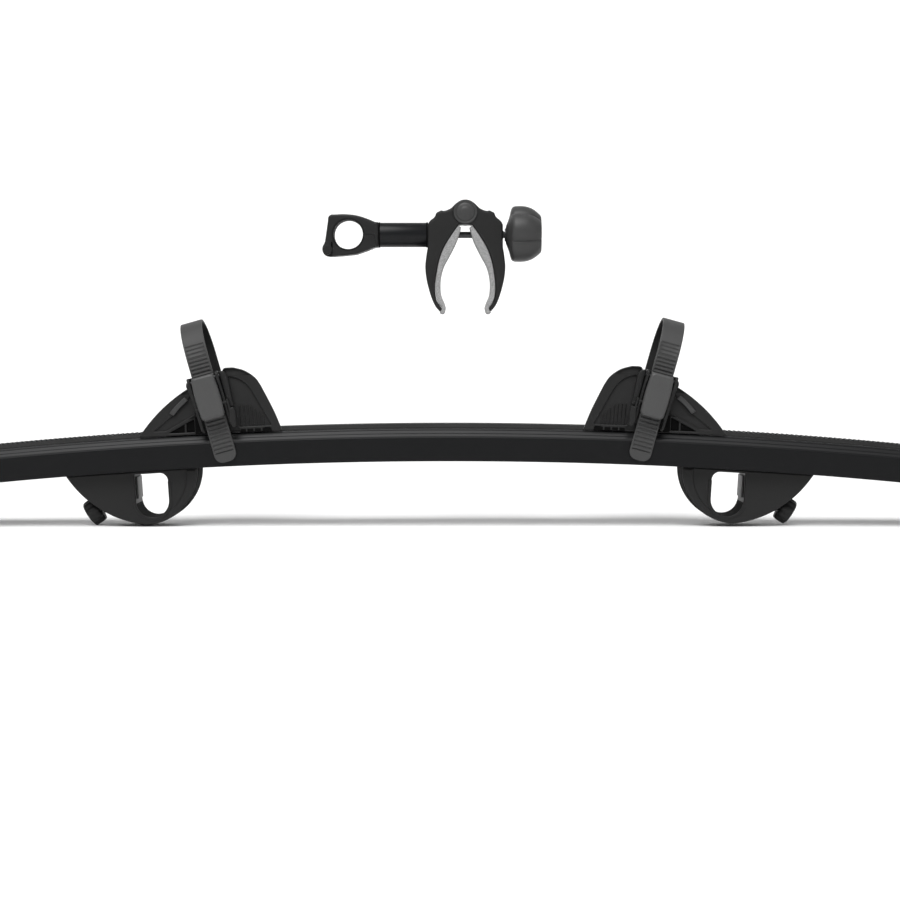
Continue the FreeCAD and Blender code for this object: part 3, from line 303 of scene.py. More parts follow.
def bent(loops, start, end, spacing=18.0):
    """Carry closed (y, height) outlines along the arch: at each distance s along the underside
    a point at height n lies at angle s / R and radius R + n."""
    count = max(2, int((end - start) / spacing) + 1)
    angle = np.linspace(start, end, count)[:, None] / RADIUS
    points, faces, first, ends = [], [], 0, []
    for loop in loops:
        reach = RADIUS + loop[:, 1]
        x, z = reach * np.sin(angle), reach * np.cos(angle) + ARCH_Z
        ring = np.stack((x, np.broadcast_to(loop[:, 0], x.shape), z), axis=-1)
        points.append(ring.reshape(-1, 3))
        faces += grid_faces(count, len(loop), True, first)
        ends.append((first, loop, ring))
        first += ring.shape[0] * ring.shape[1]
    for row in (0, count - 1):
        index = np.concatenate([np.arange(len(loop)) + offset + row * len(loop)
                                for offset, loop, _ in ends])
        polygons = [[Vector((y, n, 0)) for y, n in loop] for _, loop, _ in ends]
        faces += [[int(index[i]) for i in tri] for tri in tessellate_polygon(polygons)]
    return np.concatenate(points), faces


def joined(*shells):
    """Several shells as one list of points and faces."""
    points, faces, first = [], [], 0
    for p, f in shells:
        points.append(p)
        faces += [[i + first for i in face] for face in f]
        first += len(p)
    return np.concatenate(points), faces


# ---------------------------------------------------------------- places
def lean(shell):
    """From the ratchet's upright frame (w, y, h) to the holder's, leaning outward."""
    w, y, h = shell[0].T
    c, s = math.cos(LEAN), math.sin(LEAN)
    return np.column_stack((STRAP_ROOT + w * c + h * s, y, h * c - w * s)), shell[1]


def on_rail(shell, angle):
    """From over the crown (outward, y, height over the underside) to an angle along the arch."""
    x, y, z = shell[0].T
    x = x if angle > 0 else -x
    z = z + RADIUS
    c, s = math.cos(angle), math.sin(angle)
    return np.column_stack((x * c + z * s, y, z * c - x * s + ARCH_Z)), shell[1]


def at_ring(shell):
    """From the ring's centre to the frame."""
    return shell[0] + (RING[0], 0, RING[2]), shell[1]


def at_pivot(shell):
    """From the jaws' pivot to the frame."""
    return shell[0] + (PIVOT[0], 0, PIVOT[2]), shell[1]


def flipped(shell):
    """The other jaw's side of the pivot."""
    return shell[0] * (-1, 1, 1), shell[1]


def clean_mesh(mesh, merge=0.0):
    """Merge doubles, point every face outwards, and mark edges sharper than 40 degrees."""
    work = bmesh.new()
    work.from_mesh(mesh)
    if merge:
        bmesh.ops.remove_doubles(work, verts=work.verts, dist=merge)
    bmesh.ops.recalc_face_normals(work, faces=work.faces)
    work.to_mesh(mesh)
    work.free()
    mesh.shade_smooth()
    mesh.set_sharp_from_angle(angle=math.radians(40))


def make(name, shell, body, finish, replaces=(), cuts=()):
    """Object from a shell in millimetres, with other shells cut out of it, riding on a body."""
    mesh = bpy.data.meshes.new(name)
    mesh.from_pydata((shell[0] * MM).tolist(), [], shell[1])
    clean_mesh(mesh)
    piece = bpy.data.objects.new(name, mesh)
    bpy.context.collection.objects.link(piece)
    if cuts:
        carve(piece, cuts)
    piece.data.materials.clear()
    piece.data.materials.append(finish)
    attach(piece, body)
    if replaces:
        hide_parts(*replaces)


def carve(piece, cuts):
    """Cut shells out of a piece with an exact boolean, and keep the result as its mesh."""
    for cut in cuts:
        mesh = bpy.data.meshes.new("cutter")
        mesh.from_pydata((cut[0] * MM).tolist(), [], cut[1])
        clean_mesh(mesh)
        cutter = bpy.data.objects.new("cutter", mesh)
        bpy.context.collection.objects.link(cutter)
        step = piece.modifiers.new("cut", "BOOLEAN")
        step.operation = "DIFFERENCE"
        step.solver = "EXACT"
        step.object = cutter
        view = bpy.context.evaluated_depsgraph_get()
        result = bpy.data.meshes.new_from_object(piece.evaluated_get(view))
        piece.modifiers.clear()
        old, piece.data = piece.data, result
        bpy.data.meshes.remove(old)
        bpy.data.objects.remove(cutter)
        bpy.data.meshes.remove(mesh)
    clean_mesh(piece.data, 1e-6)


# ---------------------------------------------------------------- shader maths
class Sock:
    """A shader value: arithmetic on it adds Math nodes."""

    def __init__(self, tree, link):
        self.tree, self.link = tree, link

    def op(self, kind, *values):
        """One Math node on this value and the others."""
        node = self.tree.nodes.new("ShaderNodeMath")
        node.operation = kind
        for port, value in zip(node.inputs, (self,) + values):
            put(self.tree, port, value)
        return Sock(self.tree, node.outputs[0])

    def __add__(self, other):
        return self.op("ADD", other)

    def __sub__(self, other):
        return self.op("SUBTRACT", other)

    def __rsub__(self, other):
        return (self * -1.0) + other

    def __mul__(self, other):
        return self.op("MULTIPLY", other)

    __radd__ = __add__
    __rmul__ = __mul__

    def clamp(self):
        """Held between 0 and 1."""
        return self.op("MINIMUM", 1.0).op("MAXIMUM", 0.0)


def put(tree, port, value):
    """Set a socket to a value, or link a shader value to it."""
    if isinstance(value, Sock):
        tree.links.new(value.link, port)
    else:
        port.default_value = value


class Finish:
    """A material and the few nodes that all finishes share."""

    def __init__(self, name):
        self.material = bpy.data.materials.new(name)
        self.material.use_nodes = True
        self.tree = self.material.node_tree
        self.shader = self.tree.nodes["Principled BSDF"]
        self.place = self.node("ShaderNodeTexCoord").outputs["Object"]

    def node(self, kind, settings=None, **values):
        """One node: its settings are set first, then its sockets' values or links."""
        node = self.tree.nodes.new(kind)
        for key, value in (settings or {}).items():
            setattr(node, key, value)
        for key, value in values.items():
            put(self.tree, node.inputs[key.replace("_", " ")], value)
        return node

    def noise(self, scale, detail=3.0, rough=0.5, stretch=(1, 1, 1)):
        """Cloudy noise of 0 to 1 over the piece's own coordinates."""
        mapping = self.node("ShaderNodeMapping", Scale=stretch)
        self.tree.links.new(self.place, mapping.inputs["Vector"])
        noise = self.node("ShaderNodeTexNoise", Scale=scale, Detail=detail, Roughness=rough)
        self.tree.links.new(mapping.outputs[0], noise.inputs["Vector"])
        return Sock(self.tree, noise.outputs[0])

    def blend(self, factor, low, high):
        """Colour between two colours."""
        mix = self.node("ShaderNodeMix", {"data_type": "RGBA"})
        put(self.tree, mix.inputs[0], factor)
        put(self.tree, mix.inputs[6], (*low, 1))
        put(self.tree, mix.inputs[7], (*high, 1))
        return Sock(self.tree, mix.outputs[2])

    def bump(self, height, strength, distance):
        """Relief of a height over the surface, in metres."""
        bump = self.node("ShaderNodeBump", Strength=strength, Distance=distance)
        put(self.tree, bump.inputs["Height"], height)
        self.tree.links.new(bump.outputs[0], self.shader.inputs["Normal"])

    def set(self, **values):
        """Sockets of the main shader, their names' spaces written as underscores."""
        for key, value in values.items():
            put(self.tree, self.shader.inputs[key.replace("_", " ")], value)


def grey(value, blue=0.0):
    """A grey, tinted by a share of blue."""
    return (value * (1 - blue), value * (1 - 0.4 * blue), value * (1 + blue))


def moulded(name, level, rough=0.5, grain=1400.0, depth=0.00006, wear=0.12, spec=0.35):
    """Injection-moulded plastic: fine spark-eroded grain, faint flow clouds in colour and gloss."""
    f = Finish(name)
    cloud = f.noise(18.0, 4.0)
    speck = f.noise(grain * 0.35, 2.0)
    tone = (cloud - 0.5) * 2 * wear + (speck - 0.5) * 0.25 + 0.5
    f.set(Base_Color=f.blend(tone.clamp(), grey(level * 0.78), grey(level * 1.22)),
          Roughness=rough + (cloud - 0.5) * 0.18 + (speck - 0.5) * 0.12)
    f.shader.inputs["Specular IOR Level"].default_value = spec
    f.bump(f.noise(grain, 2.0, 0.6), 0.35, depth)
    return f.material


def anodised(name, level, rough):
    """Black anodised extrusion: fine die lines along its length, slight gloss drift."""
    f = Finish(name)
    lines = f.noise(900.0, 3.0, 0.6, (0.01, 1, 1))
    drift = f.noise(6.0, 3.0)
    f.set(Base_Color=f.blend((lines - 0.5) * 0.7 + 0.5, grey(level * 0.85, 0.1), grey(level * 1.2, 0.08)),
          Roughness=rough + (lines - 0.5) * 0.14 + (drift - 0.5) * 0.1)
    f.shader.inputs["Specular IOR Level"].default_value = 0.18
    f.bump(lines, 0.2, 0.00004)
    return f.material


def speckled(name, level):
    """Light grey rubber with fine darker specks and a soft matt surface."""
    f = Finish(name)
    specks = f.noise(1500.0, 2.0, 0.7)
    cloud = f.noise(30.0, 3.0)
    dark = ((specks - 0.44) * 9.0).clamp()
    tone = dark * 0.72 + (cloud - 0.5) * 0.3 + 0.14
    f.set(Base_Color=f.blend(tone.clamp(), grey(level * 0.55), grey(level * 1.25)),
          Roughness=0.72 + (cloud - 0.5) * 0.12)
    f.bump(specks, 0.4, 0.0001)
    return f.material


def plated(name, low, high):
    """Plated steel: faint drawn streaks and cloudy gloss."""
    f = Finish(name)
    cloud = f.noise(60.0, 4.0)
    f.set(Base_Color=f.blend(cloud, grey(low), grey(high, 0.03)), Roughness=0.34 + (cloud - 0.5) * 0.2)
    f.shader.inputs["Metallic"].default_value = 0.9
    f.bump(f.noise(500.0, 2.0), 0.15, 0.00003)
    return f.material


RAIL_BLACK = anodised("black_anodised_rail", 0.004, 0.36)
TUBE_BLACK = anodised("black_anodised_tube", 0.007, 0.34)
SHELL_BLACK = moulded("moulded_shell_black", 0.011, 0.48, spec=0.23)
FOOT_BLACK = moulded("foot_black", 0.011, 0.50, spec=0.25)
STRAP_GREY = moulded("strap_charcoal", 0.042, 0.58, grain=900.0, wear=0.16, spec=0.3)
LEVER_GREY = moulded("lever_charcoal", 0.054, 0.46, spec=0.33)
KNOB_GREY = moulded("knob_charcoal", 0.034, 0.48, spec=0.35)
MAT_BLACK = moulded("tread_rubber", 0.010, 0.66, grain=700.0, depth=0.00012, spec=0.25)
SOFT_BLACK = moulded("lining_rubber", 0.006, 0.70, grain=700.0, spec=0.15)
# Near-black matt finish for painted shade: dark skins and faces set in holes, gaps and behind openings where
# shade falls.
PAINTED_SHADE_BLACK = moulded("painted_shade_black", 0.003, 0.80, spec=0.04)
PAD_GREY = speckled("jaw_pad_grey", 0.27)
ZINC = plated("zinc_plate", 0.30, 0.48)
DARK_STEEL = plated("blackened_steel", 0.03, 0.07)


# ---------------------------------------------------------------- rail
def build_rail():
    """Rail: an open-topped channel with a bead and a bevel along each outer edge, a groove in
    each side and a hollow box in the middle, carried along the arch."""
    half = [(39, 0), (39, 25.6), (38.6, 26.0), (38.6, 26.6), (38.2, 27.6), (36.5, 30.2), (36.1, 30.2),
            (33.9, 33.5), (34.0, 34.1), (33, 35.5), (28, 35.5), (28, 33.3), (31.8, 33.3), (36.8, 25.7),
            (36.8, 2.5), (15, 2.5), (15, 31), (21.5, 31), (21.5, 33)]
    outer = soften(both_sides(half), 0.3, 0.6)
    inner = soften(both_sides([(13, 2.5), (13, 31)]), 0.5, 1.2, hole=True)
    make("rail_extrusion", bent([outer, inner], -RAIL_HALF, RAIL_HALF), "rail_and_feet", RAIL_BLACK,
         ["rail"])


def build_mats():
    """Tread mats: a hump with round-topped ribs across it and two grooves along it; the strip
    between the two mats has no ribs."""
    hump = [(21, 33), (21, 36.2), (20.2, 37), (17.6, 37), (16.4, 36.4), (15.2, 37.2), (14, 39.6), (13.2, 40)]
    strip = soften(both_sides(hump), 0.4, 0.7)
    make("centre_strip", bent([strip], -STRIP_HALF, STRIP_HALF), "rail_and_feet", MAT_BLACK,
         ["bed_strip"])
    rib = plate([soften(polygon([(-1.5, 39.4), (1.5, 39.4), (0.9, 41.0), (-0.9, 41.0)]), 0.35, 0.5)],
                -13.4, 13.4, 0.6, steps=2)
    rib_places = np.arange(STRIP_HALF + RIB_PITCH, LAST_RIB, RIB_PITCH)
    for name, side, nodes in (("left", -1, ()), ("right", 1, ["bed_mats"])):
        start, end = sorted((side * (STRIP_HALF + MAT_GAP), side * RAIL_HALF))
        ribs = [on_rail(rib, side * place / RADIUS) for place in rib_places]
        make("tread_mat_" + name, joined(bent([strip], start, end), *ribs), "rail_and_feet", MAT_BLACK,
             nodes)


# ---------------------------------------------------------------- feet
def foot_loops():
    """Half-moon side and its oval hole, in (u, height), u outward from the hole."""
    side = trace((-51.5, -0.35), [(-34.1, -42.1), (8, -59.5)], [(57.4, -39.6), (93, -0.9)])
    hole = trace((-18, -34), [(0, -52), (18, -34)], [(18, -4)], [(-9, -4)], [(-15.4, -6.6), (-18, -13)])
    return soften(side, 0.9), soften(hole, 0.9, hole=True)


def screw_turned(profile, **extra):
    """Turned solid on the clamp screw's axis, distances counted from the knob's face."""
    c, s = math.cos(SCREW_SLOPE), math.sin(SCREW_SLOPE)
    return lathe(profile, (-c, 0, s), (KNOB_FACE[0], 0, KNOB_FACE[1]), **extra)


def foot_painted_shade():
    """Painted shade: dark skins just inside the hole's wall and just outside the half-moon's edge, darkening
    them where shade falls.
    """
    wall = trace((18.2, -36), [(0, -52.2), (-18.2, -34)], [(-18.2, -13)], [(-17.7, -14)], [(-17.7, -34)],
                 [(0, -51.7), (17.7, -36)])
    edge = trace((-51.9, -0.5), [(-34.4, -42.4), (8, -59.9)], [(57.6, -40.0), (92.6, -1.8)],
                 [(92.2, -1.8)], [(57.3, -39.4), (8, -59.3)], [(-34.0, -41.9), (-51.3, -0.5)])
    return joined(plate([soften(wall, 0.2, 0.4)], 1.6 - FOOT_HALF, FOOT_HALF - 1.6, 0.1, steps=1),
                  plate([soften(edge, 0.3, 0.8)], 2.6 - FOOT_HALF, FOOT_HALF - 2.6, 0.2, steps=1))


def foot_rim():
    """Raised band inside the half-moon's edge: an arc whose inner radius grows until the band
    tapers out."""
    turn = np.linspace(math.radians(182), math.radians(245), 30)
    middle, outer = 8.0, 58.4
    inner = np.linspace(46.0, 52.8, 30)
    swell = np.vstack((np.column_stack((middle + outer * np.cos(turn), outer * np.sin(turn))),
                       np.column_stack((middle + inner * np.cos(turn), inner * np.sin(turn)))[::-1]))
    return plate([soften(swell, 1.4)], -FOOT_HALF - 1.2, -FOOT_HALF + 2, 2.5, 0.2, steps=6)


def foot_collar():
    """Narrow raised border round the lower end of the oval hole."""
    ring = trace((-21.5, -34), [(0, -55.2), (20.8, -36)], [(18, -34)], [(0, -52), (-18, -34)],
                 [(-18, -14)], [(-21.5, -13)])
    return plate([soften(ring, 0.5)], -FOOT_HALF - 0.8, -FOOT_HALF + 1, 0.7)


def foot_grooves(distance, angle):
    """Nine grooves round the foot's knob, fading out at its face."""
    groove = (0.5 + 0.5 * np.cos(9 * angle)) ** 1.5
    return 1 - 0.085 * groove * np.clip((distance - 0.5) / 2, 0, 1)


def foot_knob():
    """Turned knob with grooves and a low cap in its face."""
    profile = [(-0.8, 0.01), (-0.8, 10.4), (-0.5, 12.2), (0.5, 13.6), (1.9, 14.4), (5, 14.6), (9, 14.5),
               (12.4, 13.8), (13.5, 12.8), (14.0, 11.2), (14.0, 0.01)]
    cap = [(-1.5, 0.01), (-1.5, 6.0), (-1.2, 6.8), (-0.5, 7.2), (-0.2, 7.2)]
    return joined(screw_turned(profile, around=108, lobe=foot_grooves), screw_turned(cap, around=48))


def build_feet():
    """Each foot: a half-moon shell with its oval hole, bored for the screw, knob and bolts."""
    side, hole = foot_loops()
    body = plate([side, hole], -FOOT_HALF, FOOT_HALF, 2.0, steps=5)
    knob_bore = screw_turned(rounded_profile(-14, 20, 15, 0.4))
    screw_bore = screw_turned(rounded_profile(19, 68, 4.4, 0.3), around=32)
    bolt_bores = [lathe(rounded_profile(-70, -8, 5.6, 0.3), (0, 0, 1), (u, 0, 0), around=40)
                  for u in FOOT_BOLTS]
    pad = block((16.0, 17.9), (-17.6, 17.6), (-31.0, -7.0), 0.8)
    pieces = (
        ("_foot_shell", body, None, FOOT_BLACK, "moulded_black", "_foot", [knob_bore, screw_bore, *bolt_bores]),
        ("_foot_rim", foot_rim(), None, FOOT_BLACK, "moulded_black", None, []),
        # painted shade inside the foot's hole and along its edge
        ("_foot_painted_shade", foot_painted_shade(), None, PAINTED_SHADE_BLACK, "moulded_black", None, [knob_bore]),
        ("_foot_collar", foot_collar(), None, FOOT_BLACK, "moulded_black", None, []),
        ("_foot_pad", pad, "_clamp_pad", KNOB_GREY, "soft_black", "_clamp_pad", []),
        ("_foot_knob", foot_knob(), "_clamp_knob", SHELL_BLACK, "knob_grey", "_clamp_knob", []))
    for foot, angle in FOOT_ANGLE.items():
        for name, shell, mover, finish, slot, node, cuts in pieces:
            make(foot + name, on_rail(shell, angle), foot + mover if mover else "rail_and_feet", finish,
                 [foot + node] if node else (), [on_rail(cut, angle) for cut in cuts])


# ---------------------------------------------------------------- wheel holders
def cheek_loop():
    """A cheek seen from its side: the fin on the left, the wheel's wedge on the right."""
    return trace((-68.8, HOLDER_FOOT), [(86.3, HOLDER_FOOT)], [(86.5, 36.5)], [(61.5, 64.4), (31, 86.3)],
                 [(-2, 100)], [(-7, 102.5)], [(-8, 105.6), (-11, 107)], [(-19, 107)],
                 [(-31, 103), (-42, 95), (-48, 86)], [(-55, 71), (-62, 55), (-68.8, HOLDER_FOOT + 0.2)])


def cheek_shells():
    """A cheek in the near position: back plate, front skin with the fin's recess and the wedge's
    panel, grip ribs, the flange beside the ratchet, and the base slots with their posts."""
    outer = soften(cheek_loop(), 0.9)
    void = soften(trace((26, 38.8), [(54, 38.8)], [(26, 53)]), 0.6, hole=True)
    slots = [soften(polygon([(x, 37.2), (x + 6.2, 37.2), (x + 6.2, 40.2), (x, 40.2)]), 0.4, 0.6, hole=True)
             for x in (-56, -47.5, -39, -30.5)]
    recess = soften(trace((-57.6, 42.4), [(-22, 42.4)], [(-21, 50)], [(-12.5, 90)], [(-13.2, 97)],
                          [(-27, 92.2), (-37.6, 80.6)], [(-46, 64.7), (-57.6, 42.4)]), 1.0, hole=True)
    panel = soften(trace((26, 57.5), [(25.2, 77.0)], [(27.6, 78.6)], [(49.5, 57.0)], [(70.0, 41.5)],
                         [(57.5, 41.5)]), 0.8, hole=True)
    shells = [plate([outer, void], -SKIN - 0.05, -CHEEK_IN, 0.4, 0.8, steps=2),
              plate([outer, void, recess, panel, *slots], -CHEEK_OUT, -SKIN, 1.1, 0.05)]
    for i in range(7):
        x = -50.5 + 4.1 * i
        top = min(47 + 3.4 * (i + 1), 62) + 4
        ridge = polygon([(x, 43.5), (x + 1.7, 43.5), (x + 2.7, top), (x + 1.0, top)])
        shells.append(plate([soften(ridge, 0.4, 0.6)], -CHEEK_OUT + 0.2, -SKIN + 0.2, 0.8, steps=3))
    shells.append(block((34.6, 36.8), (-CHEEK_OUT + 0.6, -CHEEK_IN - 0.5), (37.6, 48.4), 0.5))
    for x in (-47.6, -39.4, -31.2):
        shells.append(block((x, x + 1.8), (-CHEEK_OUT - 0.6, -CHEEK_OUT + 0.6), (36.6, 40.0), 0.4))
    return joined(*shells)


def bar_shell():
    """The wedge's raised bar."""
    bar = trace((52.4, 60.4), [(44.6, 69.0), (35.0, 77.2)], [(30.8, 73.6)], [(40.4, 65.6), (47.6, 57.4)])
    return plate([soften(bar, 1.0, 0.7)], -CHEEK_OUT - 1.9, 0.5 - CHEEK_OUT, 1.1)


def shadow_shell():
    """Painted shade: dark faces behind the openings, under the wedge, under the ratchet and along the base,
    where shade falls.
    """
    under = soften(trace((26.5, 39.2), [(53.0, 39.2)], [(26.5, 52.4)]), 0.4, 0.7)
    middle = soften(polygon([(-6, 36.4), (25.2, 36.4), (25.2, 55), (-1, 55)]), 0.4, 0.7)
    slot = soften(polygon([(-58, 36.0), (-23.5, 36.0), (-24.0, 39.7), (-57, 39.7)]), 0.4, 0.7)
    return joined(plate([under], 0.5 - CHEEK_OUT + 1.6, -CHEEK_IN - 0.2, 0.2, steps=1),
                  plate([middle], -CHEEK_OUT - 0.4, 0.5 - CHEEK_OUT, 0.3, steps=2),
                  plate([slot], -CHEEK_OUT - 0.3, 0.5 - CHEEK_OUT, 0.2, steps=2))


def strap_shell():
    """Ladder strap. Path: straight up the near side, half round the top, down the far side.
    Section: a flat bar whose outer face carries rounded teeth, each a raised cosine along the
    path. Tip: the half width follows a circle, so the end is a rounded blade."""
    near = np.arange(STRAP_TIP, STRAP_SPRING, 0.45)
    turn = np.linspace(0, math.pi, 90)
    far = np.arange(STRAP_SPRING, STRAP_END, -2.0)[1:]
    y = np.concatenate((np.full(len(near), STRAP_NEAR), STRAP_MIDDLE - STRAP_REACH * np.cos(turn),
                        np.full(len(far), STRAP_FAR)))
    h = np.concatenate((near, STRAP_SPRING + STRAP_REACH * np.sin(turn), far))
    out_y = np.concatenate((np.full(len(near), -1.0), -np.cos(turn), np.full(len(far), 1.0)))
    out_h = np.concatenate((np.zeros(len(near)), np.sin(turn), np.zeros(len(far))))
    along = np.concatenate(([0], np.cumsum(np.hypot(np.diff(y), np.diff(h)))))
    blade = 0.75 * STRAP_HALF_WIDTH
    half = STRAP_HALF_WIDTH - blade + np.sqrt(blade**2 - np.clip(blade - along, 0, blade) ** 2)
    last = LAST_TOOTH - STRAP_TIP
    coarse, fine = (0.5 - 0.5 * np.cos(2 * np.pi * (along - FIRST_TOOTH) / pitch) for pitch in (4.6, 4.25))
    tooth = np.clip(np.where(along < 60, coarse, fine) * 1.35, 0, 1) ** 1.3
    tooth *= np.clip(along - FIRST_TOOTH, 0, 1) * np.clip((last - along) / 1.5, 0, 1)
    toothed = (along > FIRST_TOOTH) & (along < last)
    gap = TOOTH_DEPTH * np.where(toothed, 1 - tooth, 0)
    # the section's corners: share of the half width, share of the half thickness, carries teeth
    w = np.array([-1, -1, -0.985, -0.93, -0.86, -0.8, -0.4, 0, 0.4, 0.8, 0.86, 0.93, 0.985, 1, 1, 0.985, 0.93,
                  0, -0.93, -0.985])
    t = np.array([-0.5, 0.5, 0.82, 1, 1, 1, 1, 1, 1, 1, 1, 1, 0.82, 0.5, -0.5, -0.82, -1, -1, -1, -0.82])
    carries = (np.abs(w) <= 0.8) & (t > 0)
    thick = STRAP_HALF_THICK * t - gap[:, None] * carries
    points = np.stack((w * half[:, None], y[:, None] + thick * out_y[:, None],
                       h[:, None] + thick * out_h[:, None]), axis=-1)
    rows, columns = points.shape[:2]
    ends = [list(range(columns)), list(range((rows - 1) * columns, rows * columns))]
    return points.reshape(-1, 3), grid_faces(rows, columns) + ends


def strap_painted_shade():
    """Painted shade: a thin dark skin on the strap's inner face from the top of the loop down to its far end,
    darkening the inside of the loop.
    """
    reach = STRAP_REACH - STRAP_HALF_THICK
    turn = np.linspace(0.9, math.pi, 60)
    y = np.concatenate((STRAP_MIDDLE - reach * np.cos(turn), np.full(12, STRAP_FAR - STRAP_HALF_THICK)))
    h = np.concatenate((STRAP_SPRING + reach * np.sin(turn),
                        np.linspace(STRAP_SPRING - 2, STRAP_END + 12, 12)))
    in_y = np.concatenate((np.cos(turn), np.full(12, -1.0)))
    in_h = np.concatenate((-np.sin(turn), np.zeros(12)))
    w = np.array([-11.4, 11.4, 11.4, -11.4])
    off = np.array([-0.2, -0.2, 0.16, 0.16])
    points = np.stack((np.broadcast_to(w, (len(y), 4)), y[:, None] + off * in_y[:, None],
                       h[:, None] + off * in_h[:, None]), axis=-1)
    faces = grid_faces(len(y), 4) + [[0, 1, 2, 3], [4 * len(y) - k for k in (4, 3, 2, 1)]]
    return points.reshape(-1, 3), faces


def lever_shell():
    """Barrel-fronted lever with soft edges: a face plate on two hollow skirts, whose side walls
    leave a notch for the pawl's shaft."""
    face = trace((-8.4, 54), [(8.4, 54)], [(11.7, 55.5), (13.0, 59.4)], [(13.7, 78), (12.9, 95.4)],
                 [(11.4, 100.4), (7.2, 102)], [(-7.2, 102)], [(-11.4, 100.4), (-12.9, 95.4)],
                 [(-13.7, 78), (-13.0, 59.4)], [(-11.7, 55.5), (-8.4, 54)])
    upper = trace((13.3, 72.6), [(13.3, 84), (12.4, 96.4)], [(-12.4, 96.4)],
                  [(-13.3, 84), (-13.3, 72.6)], [(-10.6, 72.6)], [(-10.6, 90)], [(10.6, 90)], [(10.6, 72.6)])
    lower = trace((-13.0, 63.6), [(-12.8, 59.4)], [(-12, 56), (-9.3, 54.6)], [(9.3, 54.6)],
                  [(12, 56), (12.8, 59.4)], [(13.0, 63.6)], [(10.6, 63.6)], [(10.6, 58)], [(-10.6, 58)],
                  [(-10.6, 63.6)])
    face = plate([soften(face, 0.8, 0.8)], LEVER_FRONT, LEVER_FRONT + 4.6, 3.4, 0.2, steps=7)
    skirts = [plate([soften(loop, 0.4, 0.8)], LEVER_FRONT + 3.8, LEVER_BACK, 0.2, 0.5, steps=2)
              for loop in (upper, lower)]
    heel = lathe([(-12.2, 0.01), (-12.2, 3.9), (-11.6, 4.4), (11.6, 4.4), (12.2, 3.9), (12.2, 0.01)],
                 (1, 0, 0), (0, LEVER_PIN_Y, LEVER_PIN_H), around=48)
    crown = plate([soften(trace((-12.3, 95.5), [(12.3, 95.5)], [(11.4, 99.6), (8.8, 101.2)], [(-8.8, 101.2)],
                                [(-11.4, 99.6), (-12.3, 95.5)]), 0.4, 0.8)],
                  LEVER_FRONT + 3.8, LEVER_PIN_Y, 0.2, 0.5, steps=2)
    return joined(face, *skirts, heel, crown)


def flange_shells():
    """The ratchet's frame: two flanges beside the strap with round ears for the lever's pin, an
    ear and a band on the front, and the back wall."""
    side = trace((-36, 42), [(-36, 103)], [(-48, 103)], [(-52, 101.5), (-52.6, 97.5)],
                 [(-52.2, 92), (-49.5, 86)], [(-48.6, 66)], [(-46, 54), (-41, 42)])
    loop = soften(side, 0.8, 0.8)
    shells = [turned(plate([loop], w, w + 3.0, 0.7, steps=3), (1, 0, 2)) for w in (14.2, -17.2)]
    ear = trace((14.3, 44), [(17.6, 44)], [(18.4, 70)], [(19.2, 91)], [(20.0, 96.6), (16.6, 100.6)],
                [(14.3, 100.8)])
    band = trace((-17.6, 66), [(-17.6, 101.6)], [(-20.4, 101.8), (-23.6, 99.4)], [(-25.2, 96.4)],
                 [(-25.6, 92)], [(-23.6, 66)], [(-22.8, 61.5), (-19.2, 61.5)])
    shells.append(plate([soften(ear, 0.9, 0.7)], -46.4, -36.2, 1.5, 0.2))
    shells.append(plate([soften(band, 0.9, 0.7)], -44.6, -36.2, 1.5, 0.2))
    shells.append(block((-17, 17), (-38.4, -36), (44, 103), 0.5))
    return joined(*shells)


def pawl_shell():
    """Release pawl: a nose that reaches between the strap's teeth, a shaft across the ratchet,
    and an arm down to the thumb tab."""
    y, h = PAWL_PIN
    nose = polygon([(y - 3, h - 4), (y + 3, h - 4), (y + 4.1, h + 6), (y - 1, h + 9), (y - 3, h + 4)])
    nose = turned(plate([soften(nose, 0.6, 0.6)], -8.5, 8.5, 0.6, steps=3), (1, 0, 2))
    arm = trace((y + 2.5, h + 3), [(y - 2.5, h + 3)], [(y - 2.5, h - 14)], [(y + 2.5, h - 14)])
    arm = turned(plate([soften(arm, 0.7, 0.6)], -20.1, -17.5, 0.8, steps=3), (1, 0, 2))
    tab = trace((-17.3, h - 7.0), [(-23.4, h - 7.0)], [(-24.2, h - 12), (-23.4, h - 17)], [(-21.8, h - 25)],
                [(-19.6, h - 28.6), (-16.0, h - 26.8)], [(-15.2, h - 20)])
    tab = plate([soften(tab, 0.8, 0.6)], y - 2.4, y + 3.4, 1.8, 0.6, steps=5)
    shaft = lathe(rounded_profile(-19, 17.2, 1.6, 0.2), (1, 0, 0), (0, y, h), around=24)
    return joined(nose, arm, tab, shaft)


def base_shell():
    """Cradle base: a bridge over the mat with two low side walls."""
    wall_in, wall_out = 29.0, 31.4
    section = both_sides([(wall_out, HOLDER_FOOT), (wall_out, 60), (wall_in, 60), (wall_in, 47.5)])
    under = [(-wall_in, HOLDER_FOOT), (-wall_in, 41.8), (wall_in, 41.8), (wall_in, HOLDER_FOOT)]
    loop = soften(np.vstack((section, polygon(under))), 0.4, 0.7)
    return turned(plate([loop], -50, 58, 0.6, steps=2), (1, 0, 2))


def far_cheek(near):
    """The far cheek: the near one across the rail and a little lower, with the strap's two ears."""
    foot = np.array((0, 0, HOLDER_FOOT))
    cheek = ((near[0] - foot) * (FAR_SHARE, -1, FAR_SHARE) + foot, near[1])
    ear = soften(polygon([(35, 78), (42.5, 80), (42.5, 91), (35, 94)]), 0.9, 0.7)
    return joined(cheek, *[lean(turned(plate([ear], w, w + 3.5, 0.6, steps=3), (1, 0, 2)))
                           for w in (-16, 12.5)])


